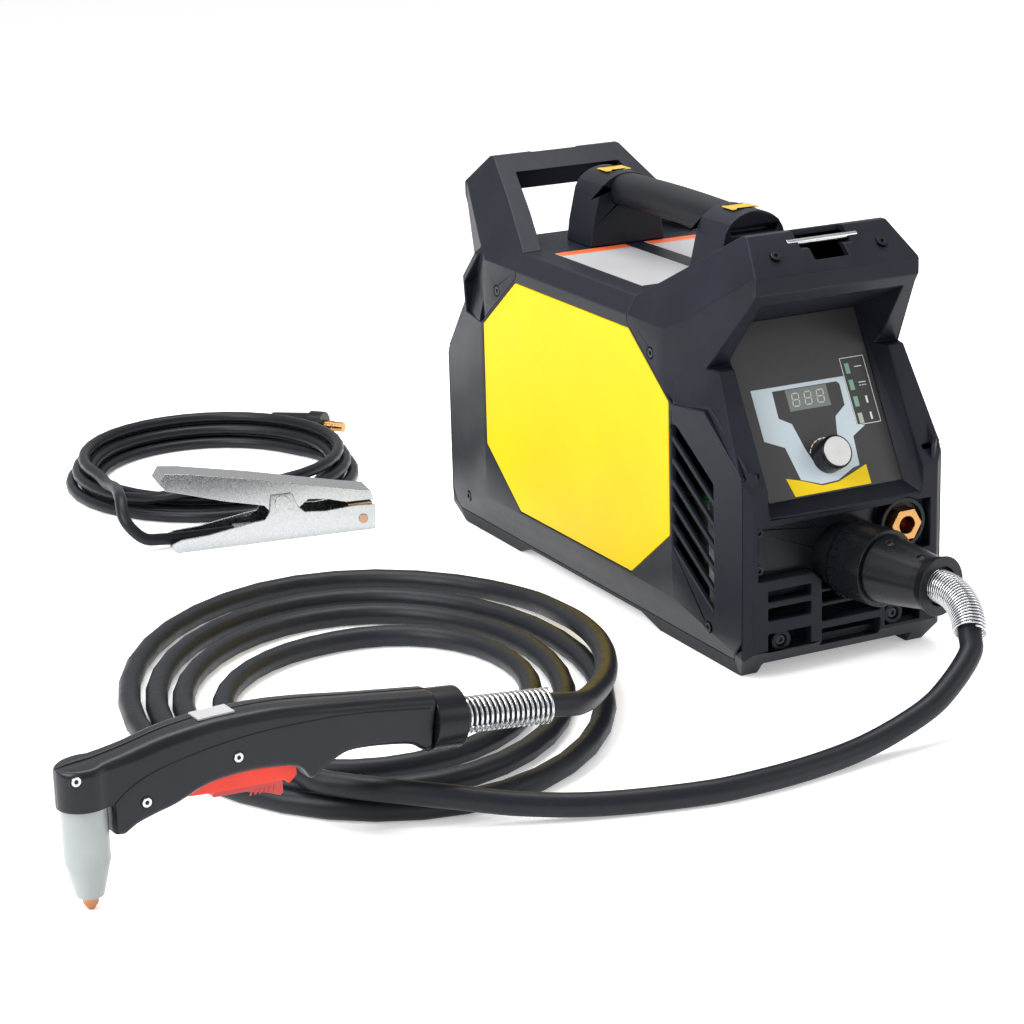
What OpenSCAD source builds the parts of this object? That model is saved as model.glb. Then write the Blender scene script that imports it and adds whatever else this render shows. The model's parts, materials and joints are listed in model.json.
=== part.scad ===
/* [Cabinet] */
// Length of the machine from its front face to its rear face
body_len = 472; // [466:1:480]
// Width across the flat sides of the cover
body_w = 186; // [183:1:190]
// Width of the flat front and rear faces
face_w = 156; // [153:1:159]
// Width across the shoulders where the corner bevels end
shoulder_w = 168; // [166:1:171]
// Height of the two tie bars above the floor
body_h = 312; // [309:1:318]
// Height of the flat top of the cover
top_z = 254; // [251:1:256]
// Height at which the top bevel of the cover starts
bevel_z = 241; // [238:1:243]
// Depth of the vertical corner bevels of both end frames
corner_d = 5; // [4:0.5:6]
// Wall of the cover
cover_wall = 4; // [3.8:0.1:4.4]
// Wall of the moulded end frames
frame_wall = 4; // [3.5:0.1:4.5]
// Height of the underside between the feet
belly_z = 13; // [11:0.5:15]
// Height of the crease where the sides turn in to the sills
sill_z = 42; // [39:1:44]
// Width across the sills at the floor
floor_w = 156; // [152:1:160]

/* [Side plates] */
// Length of the eight-sided side plates
plate_len = 292; // [286:1:295]
// Height of the side plates
plate_h = 186; // [180:1:187]
// Height of the lower edge of the side plates
plate_z = 45; // [44:0.5:48]
// Length of the corner cuts of the side plates
plate_cut = 57; // [52:1:60]
// Height of the corner cuts of the side plates
plate_rise = 43; // [38:1:46]
// Thickness of the side plates
plate_t = 2; // [1.5:0.1:2.4]

/* [Side louvres] */
// Number of slanted slots in each louvre field
louvre_n = 6; // [5:1:6]
// Height of one louvre slot measured upright
louvre_h = 12.5; // [11:0.5:13]
// Upright distance from one louvre slot to the next
louvre_pitch = 16.5; // [15.5:0.1:17]

/* [Handle] */
// Height of the top of the carrying handle
handle_z = 311; // [306:1:313]
// Distance between the middles of the handle posts
handle_span = 188; // [184:1:190]
// Width of a handle post at its foot
post_w = 66; // [62:1:70]
// Width of a handle post at its top
post_top_w = 50; // [46:1:52]
// Depth of a handle post at its foot
post_d = 40; // [36:1:44]
// Diameter of the handle grip
grip_d = 27; // [25:0.5:29]

/* [Tie bars] */
// Diameter of the steel tie rods
rod_d = 5; // [4:0.5:6]
// Width of the notch that shows each tie rod
notch_w = 42; // [38:1:46]

/* [Control panel] */
// Lean of the control panel back from upright, in degrees
panel_lean = 29.1; // [28:0.1:30]
// Width of the control panel
panel_w = 113; // [110:0.5:114]
// Height of the lower edge of the control panel above the floor
panel_z = 126; // [124:1:128]
// Length of the control panel along its slope
panel_len = 132; // [130:0.5:133]
// Thickness of the control panel
panel_t = 3; // [2.5:0.1:3.5]
// Diameter of the control knob
knob_d = 25; // [22:0.5:27]
// Length of the control knob
knob_len = 16; // [14:0.5:18]
// Diameter of the shaft under the control knob
shaft_d = 6; // [5:0.5:7]

/* [Torch connector] */
// Turn of the connector outwards from straight ahead, in degrees
conn_turn = 11; // [10:0.5:12]
// Sideways place of the connector at the front face
conn_x = 6; // [4:0.5:8]
// Height of the connector axis
conn_z = 79; // [77:0.5:81]
// Diameter of the locking ring
ring_d = 56; // [54:0.5:57]
// Length of the locking ring
ring_len = 31; // [29:0.5:33]
// Diameter of the connector boot behind the locking ring
boot_d = 50; // [48:0.5:52]
// Diameter of the boot at its outer end
boot_end_d = 38; // [36:0.5:40]
// Length of the boot
boot_len = 44; // [42:0.5:46]
// Length of the clamp cap at the end of the boot
cap_len = 9; // [8:0.5:10]

/* [Work socket] */
// Size of the brass hexagon across its flats
hex_af = 22; // [20:0.5:23]
// Diameter of the hole for the plug pin
socket_bore = 13; // [12:0.5:14]
// Sideways place of the work socket
socket_x = 50; // [49:0.5:51]
// Height of the work socket
socket_z = 97; // [96:0.5:98]

/* [Leads] */
// Diameter of the torch lead
lead_d = 16; // [15.5:0.1:16]
// Diameter of the work lead
work_d = 10; // [9.5:0.1:10]
// Outer diameter of both strain springs
spring_d = 24; // [23.6:0.1:24.4]
// Wire of the connector's strain spring
wire_d = 1.6; // [1.4:0.1:1.7]
// Wire of the torch's strain spring
torch_wire_d = 2.1; // [1.9:0.1:2.4]

/* [Torch] */
// Thickness of the torch handle across its halves
torch_w = 30; // [28:0.5:32]
// Diameter of the shield cup
cup_d = 28; // [26:0.5:29]
// Diameter of the copper tip
tip_d = 10; // [9:0.5:11]
// Diameter of the torch ring at the rear of the handle
tail_d = 40; // [38:0.5:42]

/* [Work clamp] */
// Width of the work clamp arms
clamp_w = 32; // [30:0.5:34]
// Thickness of the clamp sheet
sheet_t = 2; // [1.6:0.1:2.4]
// Diameter of the clamp pivot rivet
pivot_d = 8; // [7:0.5:9]

/* [Cooling fan] */
// Size of the square fan frame
fan_size = 92; // [90:1:94]
// Depth of the fan frame
fan_depth = 25; // [24:1:27]
// Number of fan blades
blade_n = 7; // [5:1:9]

/* [Hidden] */
$fn = 48;
eps = 0.01;
run_fit = 0.05;
end_fit = 0.5;
hl = body_len/2;
hw = body_w/2;

// Inset of the top bevel, and the outline of the hood above it
bevel_in = 8;
bar_w = 136;
ridge_w = 116;
crease_z = body_h - 24;
taper_y = hl - 86;
corner_y = hl - corner_d;
// Places along the side of an end frame, measured from the end face
cheek_top = [-hl + 45, 218];
cheek_back_y = -hl + 84;
cheek_foot_z = 139;
cheek_in = 65;
waist_front = [-hl + 49, 190];
waist_back = [-hl + 86, 188];
seam_low = [-hl + 148, bevel_z - 6];
seam_y = seam_low[0];
arm_front = [-hl + 78, 190];
arm_t = 11;
bar_low = [-hl + 12, body_h - 36];
bar_nose = [-hl + 12, crease_z];
ridge_front = [-hl + 40, body_h];
ridge_back = [-hl + 46, body_h];
bar_back_y = -hl + 50;
loop_z = body_h - 28;
foot_y = -hl + 18;
toe_z = 22;
groove_z = 150;
seam_f = -corner_y + 0.5;
heel_z = 30;
lip = 8;
lip_fit = 0.1;
// Feet and floor tray
tray_z = 9;
foot_in = 64;
front_heel_y = -105;
front_ramp_y = -82;
rear_heel_y = 121;
rear_ramp_y = 100;
// Depths of the recesses in the lower front face, and its openings
wall_y = -hl + 10;
face_back_y = foot_y;
deck_z = 124;
deck_front_z = 118;
recess = [[-73, 74], [72, 113.5]];
recess_step = [30, 60];
plate_x1 = 30;
grille = [[-65, -29, [[58, 66], [44, 53], [21, 34]]], [-20, 30, [[50, 58], [36, 47], [17, 30]]],
    [34, 64, [[42, 50], [23, 37]]]];
boss_d = 16;
boss_at = [[-53, 27], [42.5, 30]];
// Screws
screw_d = 4;
head_d = 7.5;
head_t = 2.4;
seat_d = 9;

// Lays a side outline (y, z) across the width from x0 to x1
module yz(x0, x1) { translate([x0, 0, 0]) rotate([90, 0, 90]) linear_extrude(x1 - x0) children(); }
// Lays a front outline (x, z) along the length from y0 to y1
module xz(y0, y1) { translate([0, y1, 0]) rotate([90, 0, 0]) linear_extrude(y1 - y0) children(); }
// Lays a plan outline (x, y) from height z0 to z1
module xy(z0, z1) { translate([0, 0, z0]) linear_extrude(z1 - z0) children(); }
// A block between two opposite corners
module block(a, b) { translate(a) cube(b - a); }
module both_sides() { children(); mirror([1, 0, 0]) children(); }
module both_ends() { children(); mirror([0, 1, 0]) children(); }

function mirrored(p) = concat(p, [for (i = [len(p) - 1 : -1 : 0]) [-p[i][0], p[i][1]]]);
function shift(p, d) = [for (q = p) q + d];
function back(p) = [for (i = [len(p) - 1 : -1 : 0]) p[i]];

// Front view outlines: of the cabinet, and of the hood above it, each inset by t
function cabinet_front(t) = mirrored([
    [floor_w/2 - t, 0], [hw - t, sill_z], [hw - t, bevel_z], [hw - bevel_in - t, top_z - t]]);
function hood_front(t) = mirrored([
    [hw - t, 0], [hw - t, bevel_z], [hw - bevel_in - t, top_z - t],
    [bar_w/2 - t, crease_z - t], [ridge_w/2 - t, body_h - t]]);
// Plan outlines: of the cabinet, and of the hood, whose sides close in towards the bar
function cabinet_plan(t) = mirrored([
    [face_w/2 - t, -hl], [shoulder_w/2 - t, -corner_y], [hw - t, -taper_y], [hw - t, taper_y],
    [shoulder_w/2 - t, corner_y], [face_w/2 - t, hl]]);
function hood_plan(t) = mirrored([[66 - t, -hl], [bar_w/2 - t, -hl + 17], [hw - t, -hl + 95], [hw - t, 0]]);

// Side outlines of the front half: the seam against the cover, the cheeks, the hood, the cover
function seam() = [[foot_y, belly_z], [seam_f, heel_z], [seam_f, groove_z], waist_front, waist_back,
    seam_low, [seam_y, top_z]];
function cheek_front() = [
    [foot_y, -1], [-hl - 1, toe_z], [-hl - 1, cheek_foot_z - 1.7], cheek_top, [cheek_back_y, cheek_top[1]],
    [cheek_back_y, -1]];
function cheek_rear() = [
    [cheek_back_y + 2, cheek_top[1] + 2], [cheek_back_y, cheek_top[1] + 2], waist_back, waist_front,
    [seam_f, groove_z], [seam_f, heel_z], [foot_y, belly_z], [foot_y, -2], [cheek_back_y + 2, -2]];
function hood_side() = [
    bar_low, bar_nose, ridge_front, ridge_back, [seam_y, top_z], seam_low, waist_back, arm_front];
function deck_side() = [
    cheek_top, [-hl + 88, top_z], [seam_y, top_z], seam_low, waist_back, waist_front];
function cover_side() = mirrored(seam());

// The cabinet's outer form, inset by t on all sides but the underside
module cabinet(t) {
    intersection() {
        xz(-hl, hl) polygon(cabinet_front(t));
        xy(0, top_z) polygon(cabinet_plan(t));
    }
}
// The bevelled cheeks on both sides of an end face, moved in by t and back and down by t
module cheeks(t) {
    difference() {
        intersection() {
            cabinet(t);
            translate([0, t, -t]) yz(-hw - 1, hw + 1) polygon(cheek_front());
        }
        translate([0, t, -t]) yz(-hw - 1, hw + 1) polygon(cheek_rear());
        both_sides()
            translate([shoulder_w/2 - t, -corner_y, groove_z + 1]) rotate([0, -12.9, -13.2])
                translate([0, -120, -120]) cube([60, 240, 240]);
    }
}
module hood(t) {
    intersection() {
        xz(-hl, 0) polygon(hood_front(t));
        xy(0, body_h) polygon(hood_plan(t));
        translate([0, t, -t]) yz(-hw, hw) polygon(hood_side());
    }
}
// A collar inside the cover along the seam, and its root on the frame's own wall
module seam_lip() {
    intersection() {
        union() {
            intersection() {
                difference() {
                    cabinet(cover_wall + lip_fit);
                    cabinet(cover_wall + 3);
                }
                yz(-hw, hw) polygon(concat(shift(seam(), [-1.5, 1]), back(shift(seam(), [lip, 2 - lip]))));
            }
            intersection() {
                difference() {
                    cabinet(frame_wall - 0.6);
                    cabinet(cover_wall + 3);
                }
                yz(-hw, hw) polygon(concat(shift(seam(), [-4.2, 3]), back(shift(seam(), [-0.4, 0.3]))));
            }
        }
        block([-hw, -hl, belly_z], [hw, 0, top_z]);
    }
}
// A countersunk pan-head screw along z, head up, seated at z = 0
module screw(len) {
    difference() {
        union() {
            translate([0, 0, -len]) cylinder(d = screw_d, h = len);
            cylinder(d = head_d, h = head_t);
        }
        translate([0, 0, head_t - 1.4]) cylinder(d = 3.4, h = 2, $fn = 6);
    }
}

// ---- Cabinet ----

// Outline of the eight-sided side plate, grown by g
function octagon(g) = let(a = plate_len/2 + g, c = plate_cut + g/2, r = plate_rise + g/2,
        z0 = plate_z - g, z1 = plate_z + plate_h + g)
    [[-a + c, z0], [a - c, z0], [a, z0 + r], [a, z1 - r], [a - c, z1], [-a + c, z1], [-a, z1 - r],
        [-a, z0 + r]];
// The slanted slots of one louvre field
module louvres() {
    intersection() {
        yz(hw - 14, hw + 1) polygon([[louvre_y1, 78], [louvre_y1, 172.5], [louvre_y1 - 12, 172.5],
            [louvre_y0, 140], [louvre_y0, 40]]);
        union() for (k = [0 : louvre_n - 1]) translate([0, 0, k*louvre_pitch])
            yz(hw - 14, hw + 1) polygon([[louvre_y1, 82], [louvre_y0, 44],
                [louvre_y0, 44 + louvre_h], [louvre_y1, 82 + louvre_h]]);
    }
}
louvre_y0 = -hl + 37.5;
louvre_y1 = -hl + 85.5;
// Seats of the side screws: distance from the middle, height, depth of the seat from the flat side
side_screws = [[-192, 31, 6.6], [-121, 219, 2.6]];
module side_screw_places() {
    both_sides() both_ends() for (s = side_screws)
        translate([hw - s[2], s[0], s[1]]) rotate([0, 90, 0]) children();
}
module side_screw_holes() {
    side_screw_places() {
        cylinder(d = seat_d, h = 12);
        translate([0, 0, -8]) cylinder(d = screw_d, h = 9);
    }
}

module cover() {
    color("#232428") difference() {
        intersection() {
            cabinet(0);
            yz(-hw, hw) polygon(cover_side());
        }
        translate([0, 0, -eps]) cabinet(cover_wall);
        both_sides() yz(hw - plate_t, hw + 1) polygon(octagon(plate_gap));
        both_sides() louvres();
        side_screw_holes();
        for (p = handle_bolts) translate([p[0], p[1], top_z - 20]) cylinder(d = screw_d, h = 30);
    }
}
plate_gap = 0.4;
handle_bolts = [for (sx = [-1, 1], sy = [-1, 1]) [sx*20, sy*(handle_span/2 - post_d/2 + 4.5)]];
// Room in the frames' lips for the heads of the handle bolts
module handle_bolt_seats() {
    for (p = handle_bolts) translate([p[0], p[1], top_z - cover_wall - 9]) cylinder(d = seat_d, h = 9 + eps);
}

module base_tray() {
    color("#1d1e21") difference() {
        union() {
            intersection() {
                cabinet(0);
                block([-hw, foot_y, tray_z], [hw, -foot_y, belly_z]);
            }
            intersection() {
                cabinet(0);
                both_sides() union() {
                    yz(foot_in, hw) polygon([[foot_y, 0], [front_heel_y, 0], [front_ramp_y, tray_z],
                        [foot_y, tray_z]]);
                    yz(foot_in, hw) polygon([[-foot_y, 0], [rear_heel_y, 0], [rear_ramp_y, tray_z],
                        [-foot_y, tray_z]]);
                }
            }
        }
        for (k = [-4 : 4]) block([-40, k*18 - 4, tray_z - 1], [40, k*18 + 4, belly_z + 1]);
    }
}

module side_plate() {
    yz(hw - plate_t, hw) polygon(octagon(0));
}
module side_plate_right() { color("#ffd500") side_plate(); }
module side_plate_left() { color("#ffd500") mirror([1, 0, 0]) side_plate(); }

// ---- End frames ----

// A frame shell: cheeks, toe and seam lip
module frame_shell() {
    difference() {
        cheeks(0);
        translate([0, 0, -eps]) cheeks(frame_wall);
    }
    intersection() {
        cabinet(0);
        yz(-hw, hw) polygon([[foot_y, -1], [-hl - 1, toe_z], [-hl - 1, heel_z], [seam_f, heel_z],
            [foot_y, belly_z]]);
    }
    seam_lip();
}
module toe_arch() {
    block([-foot_in, -hl - 1, -1], [foot_in, foot_y + 1, tray_z]);
}
// The tie rod, and the notch in the ridge that shows it
rod_y = -hl + 35;
rod_z = body_h - 7;
rod_len = notch_w + 16;
module rod() {
    translate([-rod_len/2, rod_y, rod_z]) rotate([0, 90, 0]) cylinder(d = rod_d, h = rod_len);
}
module rod_notch() {
    block([-notch_w/2, -hl + 20, rod_z - rod_d/2 - 1], [notch_w/2, -hl + 43, body_h + 1]);
    block([-14, -hl + 20, rod_z - 12], [14, -hl + 41, rod_z]);
}
// Screws on the sloping nose of the bar
bar_screw_x = 44;
nose_lean = 49;
module bar_screw_places() {
    both_sides() translate([bar_screw_x, -hl + 25, body_h - 13.4]) rotate([nose_lean - 10, 0, 0]) children();
}
module bar_screw_holes() {
    bar_screw_places() {
        cylinder(d = seat_d, h = 12);
        translate([0, 0, -10]) cylinder(d = screw_d, h = 12);
    }
}

// Places on the control panel: x across, y up the slope, z out of the face
panel_y = -hl + 13;
panel_fit = 0.2;
module on_panel() { translate([0, panel_y, panel_z]) rotate([90 - panel_lean, 0, 0]) children(); }
// The well behind the cheeks that holds the control panel, grown by t
module pocket(t) {
    hull() {
        xz(-hl - 5, -hl - 4) polygon(mirrored([[cheek_in + t, deck_front_z - 1 - t],
            [cheek_in + t, cheek_foot_z], [bar_in + t, bar_low[1] + 1.7 + t]]));
        block([-cheek_in - t, cheek_top[0] - 1, cheek_top[1]],
            [cheek_in + t, cheek_top[0], cheek_top[1] + 1 + t]);
        on_panel() translate([-panel_w/2 - t, -t, t > 0 ? -t - panel_t + 1 : 0])
            cube([panel_w + 2*t, panel_len + 2*t, 2]);
    }
}
bar_in = 59.5;
// Recess in the lower front for the connector plate and the work socket
module face_recess(y1) {
    xz(-hl - 1, y1) polygon([[recess[0][0], recess[0][1]], [-27, recess[0][1]], [-20, recess[0][1] - 7],
        [-20, recess_step[1]], [recess_step[0], recess_step[1]], [recess_step[0], recess[0][1] + 3],
        [recess[1][0], recess[0][1] + 3], [recess[1][0], recess[1][1]], [recess[0][0], recess[1][1]]]);
}
module grille_slots() {
    for (g = grille) for (s = g[2])
        block([g[0], -hl - 1, s[0]], [g[1], wall_y + 1, s[1]]);
}
plate_screw_at = [[-68, 107.5], [-68, 79.5]];

module front_frame() {
    color("#1f2023") difference() {
        union() {
            frame_shell();
            difference() {
                hood(0);
                hood(frame_wall);
            }
            // the well of the control panel
            intersection() {
                pocket(frame_wall);
                union() {
                    cheeks(0);
                    hood(0);
                    intersection() {
                        cabinet(cover_wall);
                        yz(-hw, hw) polygon([[-hl - 1, -1], [-hl - 1, cheek_foot_z - 1.7], cheek_top,
                            [-hl + 120, cheek_top[1]], [-hl + 120, -1]]);
                    }
                }
            }
            // the lower front wall
            intersection() {
                cabinet(cover_wall);
                union() {
                    yz(-hw, hw) polygon([[-hl, toe_z], [-hl, recess[0][1]], [wall_y, recess[0][1]],
                        [wall_y, toe_z - 12.2]]);
                    block([-hw, -hl, recess_step[1] - 6], [hw, face_back_y, deck_z - 2]);
                }
            }
            // bosses of the two face screws
            for (b = boss_at) translate([b[0], -hl + 2, b[1]]) rotate([-90, 0, 0])
                cylinder(d = boss_d, h = 16);
        }
        pocket(0);
        // seat and window of the control panel
        on_panel() translate([-panel_w/2 - panel_fit, -panel_fit, -panel_t])
            cube([panel_w + 2*panel_fit, panel_len + 2*panel_fit, panel_t + panel_fit]);
        on_panel() translate([-panel_w/2 + 5, 6, -30]) cube([panel_w - 10, panel_len - 12, 30]);
        face_recess(wall_y);
        intersection() {
            face_recess(wall_y + panel_t);
            block([-hw, -hl, 0], [plate_x1, 0, body_h]);
        }
        difference() {
            grille_slots();
            for (b = boss_at) translate([b[0], -hl + 2, b[1]]) rotate([-90, 0, 0])
                cylinder(d = boss_d, h = 16);
        }
        for (b = boss_at) translate([b[0], -hl, b[1]]) rotate([90, 0, 0]) {
            translate([0, 0, -6]) cylinder(d = seat_d, h = 8);
            translate([0, 0, -14]) cylinder(d = screw_d, h = 9);
        }
        on_plate_screws() translate([0, 0, -8]) cylinder(d = screw_d, h = 9);
        on_connector() {
            translate([0, 0, -30]) cylinder(d = sleeve_d + 2, h = 40);
            translate([0, 0, -ring_gap]) cylinder(d = ring_d + 1, h = 20);
        }
        intersection() {
            on_connector() translate([0, 0, -20]) cylinder(d = ring_d - 3, h = 21);
            block([-hw, -hl - 9, 0], [hw, wall_y, body_h]);
        }
        on_socket() {
            translate([0, 0, -30]) cylinder(d = shank_d, h = 40);
            cylinder(d = collar_d + 1, h = 20);
        }
        handle_bolt_seats();
        toe_arch();
        rod();
        rod_notch();
        bar_screw_holes();
        side_screw_holes();
        on_ceiling() translate([0, 0, -8]) cylinder(d = screw_d, h = 9);
    }
}
module on_plate_screws() {
    for (p = plate_screw_at) translate([p[0], wall_y, p[1]]) rotate([90, 0, 0]) children();
}
module on_ceiling() {
    translate([11, -hl + 32.6, body_h - 42.8]) rotate([180 - 29, 0, 0]) children();
}

// The rear frame is an open loop with a sunken panel
module rear_loop() {
    difference() {
        hood(0);
        intersection() {
            xz(-hl, 1) polygon(hood_front(arm_t));
            xy(0, body_h) polygon(hood_plan(arm_t));
            yz(-hw, hw) polygon([[-hl - 1, 0], [-hl - 1, loop_z], [bar_back_y, loop_z],
                [bar_back_y, body_h + 1], [0, body_h + 1], [0, 0]]);
        }
    }
}
// Outline of the sunken rear panel between depths a and b from the rear face
function panel_side(a, b, z0, up) = let(s = sin(cheek_lean), c = cos(cheek_lean)) [
    [-hl + a, z0], [-hl + a, cheek_foot_z], [-hl + a + s*up, cheek_foot_z + c*up],
    [-hl + b + s*up, cheek_foot_z + c*up], [-hl + b, cheek_foot_z], [-hl + b, z0]];
cheek_lean = atan2(cheek_top[0] + hl, cheek_top[1] - cheek_foot_z);
rear_in = 14;
rear_z0 = 24;
rear_up = 80;
module rear_frame() {
    color("#1f2023") mirror([0, 1, 0]) difference() {
        union() {
            frame_shell();
            rear_loop();
            // deck between the arms
            intersection() {
                cabinet(0);
                difference() {
                    yz(-hw, hw) polygon(deck_side());
                    translate([0, frame_wall, -frame_wall]) yz(-hw, hw) polygon([
                        waist_front, cheek_top, [-hl + 88, top_z], [0, top_z], [0, 100],
                            [waist_front[0], 100]]);
                }
            }
            // surround of the rear panel
            intersection() {
                cabinet(cover_wall);
                yz(-rear_w/2 - frame_wall, rear_w/2 + frame_wall)
                    polygon(panel_side(0, rear_in + 7, rear_z0 - frame_wall, rear_up + frame_wall));
            }
        }
        yz(-rear_w/2, rear_w/2) polygon(panel_side(-2, rear_in + panel_t, rear_z0, rear_up));
        yz(-rear_w/2 + 5, rear_w/2 - 5) polygon(panel_side(-2, rear_in + 9, rear_z0 + 5, rear_up - 6));
        toe_arch();
        rod();
        rod_notch();
        bar_screw_holes();
        side_screw_holes();
        handle_bolt_seats();
        mirror([0, 1, 0]) rear_screw_places() translate([0, 0, -9]) cylinder(d = screw_d, h = 10);
    }
}
rear_w = 130;

module tie_rods() {
    color("#c9ccd0") both_ends() rod();
}

// ---- Carrying handle ----

handle_core_d = grip_d - 7;
grip_z = handle_z - grip_d/2;
module handle_post() {
    difference() {
        translate([0, handle_span/2 - post_d/2, 0]) union() {
            xz(0, post_d) polygon(mirrored([[post_w/2, top_z], [post_w/2 - 2, top_z + 16],
                [post_top_w/2, grip_z - 2], [post_top_w/2 - 4, grip_z + 5]]));
            intersection() {
                translate([0, 0, handle_z - 30]) rotate([-90, 0, 0]) cylinder(r = 30, h = post_d);
                block([-post_top_w/2 + 4, 0, grip_z], [post_top_w/2 - 4, post_d, handle_z + 1]);
            }
        }
        // strap slot in the outer face
        block([-strap_w/2, handle_span/2 + post_d/2 - 8, grip_z - 3],
            [strap_w/2, handle_span/2 + post_d/2 + 1, grip_z + 2]);
        block([-11, handle_span/2 - 8, handle_z - 0.8], [11, handle_span/2 + 8, handle_z + 1]);
        both_sides() translate([handle_bolts[3][0], handle_bolts[3][1], top_z - 1])
            cylinder(d = screw_d, h = 15);
    }
}
strap_w = 40;
module handle() {
    color("#222326") difference() {
        both_ends() handle_post();
        yz(-post_w, post_w) polygon([2*[seam_y, top_z] - ridge_back, ridge_back,
            [ridge_back[0], 2*top_z - ridge_back[1]]]);
    }
    color("#222326") {
        translate([0, -handle_span/2 + post_d/2 - 1, grip_z]) rotate([-90, 0, 0])
            cylinder(d = handle_core_d, h = handle_span - post_d + 2);
    }
}
module handle_grip() {
    color("#18191b") translate([0, -handle_span/2 + post_d/2, grip_z]) rotate([-90, 0, 0]) difference() {
        cylinder(d = grip_d, h = handle_span - post_d);
        translate([0, 0, -1]) cylinder(d = handle_core_d, h = handle_span);
    }
}
module handle_badges() {
    color("#c9a227") both_ends()
        block([-11, handle_span/2 - 8, handle_z - 0.8], [11, handle_span/2 + 8, handle_z]);
}
label_t = 0.4;
module labels() {
    color("#e6e6e2") {
        block([-66, -64, top_z], [-4, 72, top_z + label_t]);
        block([14, -64, top_z], [66, 72, top_z + label_t]);
        on_torch() block([74, -7, 104.1], [98, 7, 105.3]);
    }
}

// ---- Control panel ----

knob_v = 26;
display = [-19.5, 62.5, 34.5, 16];
lamp_x = 34.5;
lamp_v = [87, 74.5, 62, 49.5];
lamp_size = [3.6, 7.6];
board_gap = 2.4;
module lamp_blocks(z0, z1) {
    for (v = lamp_v) translate([lamp_x, v - lamp_size[1]/2, z0]) cube([lamp_size[0], lamp_size[1], z1 - z0]);
}
module control_panel() {
    color("#2b2c30") on_panel() difference() {
        translate([-panel_w/2, 0, -panel_t]) cube([panel_w, panel_len, panel_t]);
        translate([display[0], display[1], -panel_t - 1]) cube([display[2], display[3], panel_t + 2]);
        lamp_blocks(-panel_t - 1, 1);
        translate([0, knob_v, -panel_t - 1]) cylinder(d = shaft_d + 2*run_fit, h = panel_t + 2);
    }
}
module display_window() {
    color("#8b9490") on_panel()
        translate([display[0], display[1], -panel_t]) cube([display[2], display[3], panel_t - 0.4]);
}
module panel_lamps() { color("#7fc08a") on_panel() lamp_blocks(-panel_t, 0); }
module display_board() {
    color("#1e5b3a") on_panel() {
        difference() {
            translate([-48, 10, -panel_t - board_gap - 1.6]) cube([96, 112, 1.6]);
            translate([0, knob_v, -panel_t - board_gap - 3]) cylinder(d = 14, h = 4);
        }
        translate([display[0], display[1], -panel_t - board_gap]) cube([display[2], display[3], board_gap]);
        lamp_blocks(-panel_t - board_gap, -panel_t);
        // rotary encoder under the knob
        translate([0, knob_v, 0]) difference() {
            union() {
                translate([0, 0, -panel_t - 2.2]) cylinder(d = 12, h = 2.2);
                translate([-8, -8, -panel_t - 10]) cube([16, 16, 10 - 2]);
            }
            translate([0, 0, -panel_t - 7 - run_fit]) cylinder(d = shaft_d + 2*run_fit, h = 12);
        }
    }
}
module knob() {
    color("#d9dbdd") on_panel() translate([0, knob_v, 0.3]) difference() {
        cylinder(d = knob_d, h = knob_len - 0.3);
        translate([0, 0, -1]) cylinder(d = shaft_d, h = knob_len - 4);
    }
}
module knob_shaft() {
    color("#b9bcc0") on_panel() translate([0, knob_v, -panel_t - 7])
        cylinder(d = shaft_d, h = panel_t + 7 + knob_len - 5);
}

// ---- Torch connector and work socket ----

sleeve_d = 44;
sleeve_bore = 34;
ring_gap = 0.3;
flange_len = 11;
module on_connector() {
    translate([conn_x, -hl - 2, conn_z]) rotate([0, 0, conn_turn]) rotate([90, 0, 0]) children();
}
module on_socket() { translate([socket_x, wall_y, socket_z]) rotate([90, 0, 0]) children(); }
shank_d = 18;

module connector_plate() {
    color("#2c2d30") difference() {
        intersection() {
            translate([0, panel_t, 0]) face_recess(wall_y);
            block([-hw, wall_y, 0], [plate_x1, wall_y + panel_t, body_h]);
        }
        on_connector() translate([0, 0, -30]) cylinder(d = sleeve_d + 2, h = 40);
        on_plate_screws() translate([0, 0, -8]) cylinder(d = screw_d, h = 9);
    }
}
// Fixed socket body: a flange on the plate, and a sleeve for the locking ring
module torch_receptacle() {
    color("#17181a") difference() {
        union() {
            intersection() {
                on_connector() translate([0, 0, -20]) cylinder(d = ring_d - 4, h = 20 - ring_gap);
                block([-hw, -hl - 40, 0], [hw, wall_y, body_h]);
            }
            on_connector() translate([0, 0, -22]) cylinder(d = sleeve_d + 2, h = 20);
            on_connector() translate([0, 0, -2]) cylinder(d = sleeve_d, h = ring_len - 2);
        }
        on_connector() translate([0, 0, -16]) cylinder(d = sleeve_bore, h = 60);
    }
}
module locking_ring() {
    color("#141517") on_connector() difference() {
        cylinder(d = ring_d, h = ring_len);
        translate([0, 0, -1]) cylinder(d = sleeve_d + 2*run_fit, h = ring_len + 2);
        for (a = [0 : 15 : 345]) rotate([0, 0, a]) translate([ring_d/2 + 0.8, 0, -1]) cylinder(d = 3, h = 9);
    }
}
module boot() {
    color("#111214") on_connector() difference() {
        union() {
            translate([0, 0, 2]) cylinder(d = sleeve_bore, h = ring_len);
            translate([0, 0, ring_len + ring_gap]) cylinder(d1 = boot_d, d2 = boot_end_d, h = boot_len);
            translate([0, 0, ring_len + ring_gap + boot_len])
                cylinder(d1 = boot_end_d, d2 = boot_end_d + 5, h = cap_len);
        }
        translate([0, 0, cap_face - end_fit]) cylinder(d = spring_d + 4, h = 20);
        boot_screw_seats();
    }
}
boot_screw_at = [10, 38];
module boot_screw_places() {
    for (l = boot_screw_at) translate([0, 0, ring_len + l]) rotate([0, 0, 105]) rotate([0, 90, 0])
        translate([0, 0, boot_d/2 - 3.6 - l*(boot_d - boot_end_d)/2/boot_len]) children();
}
module boot_screw_seats() { boot_screw_places() cylinder(d = 6, h = 9); }
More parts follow.
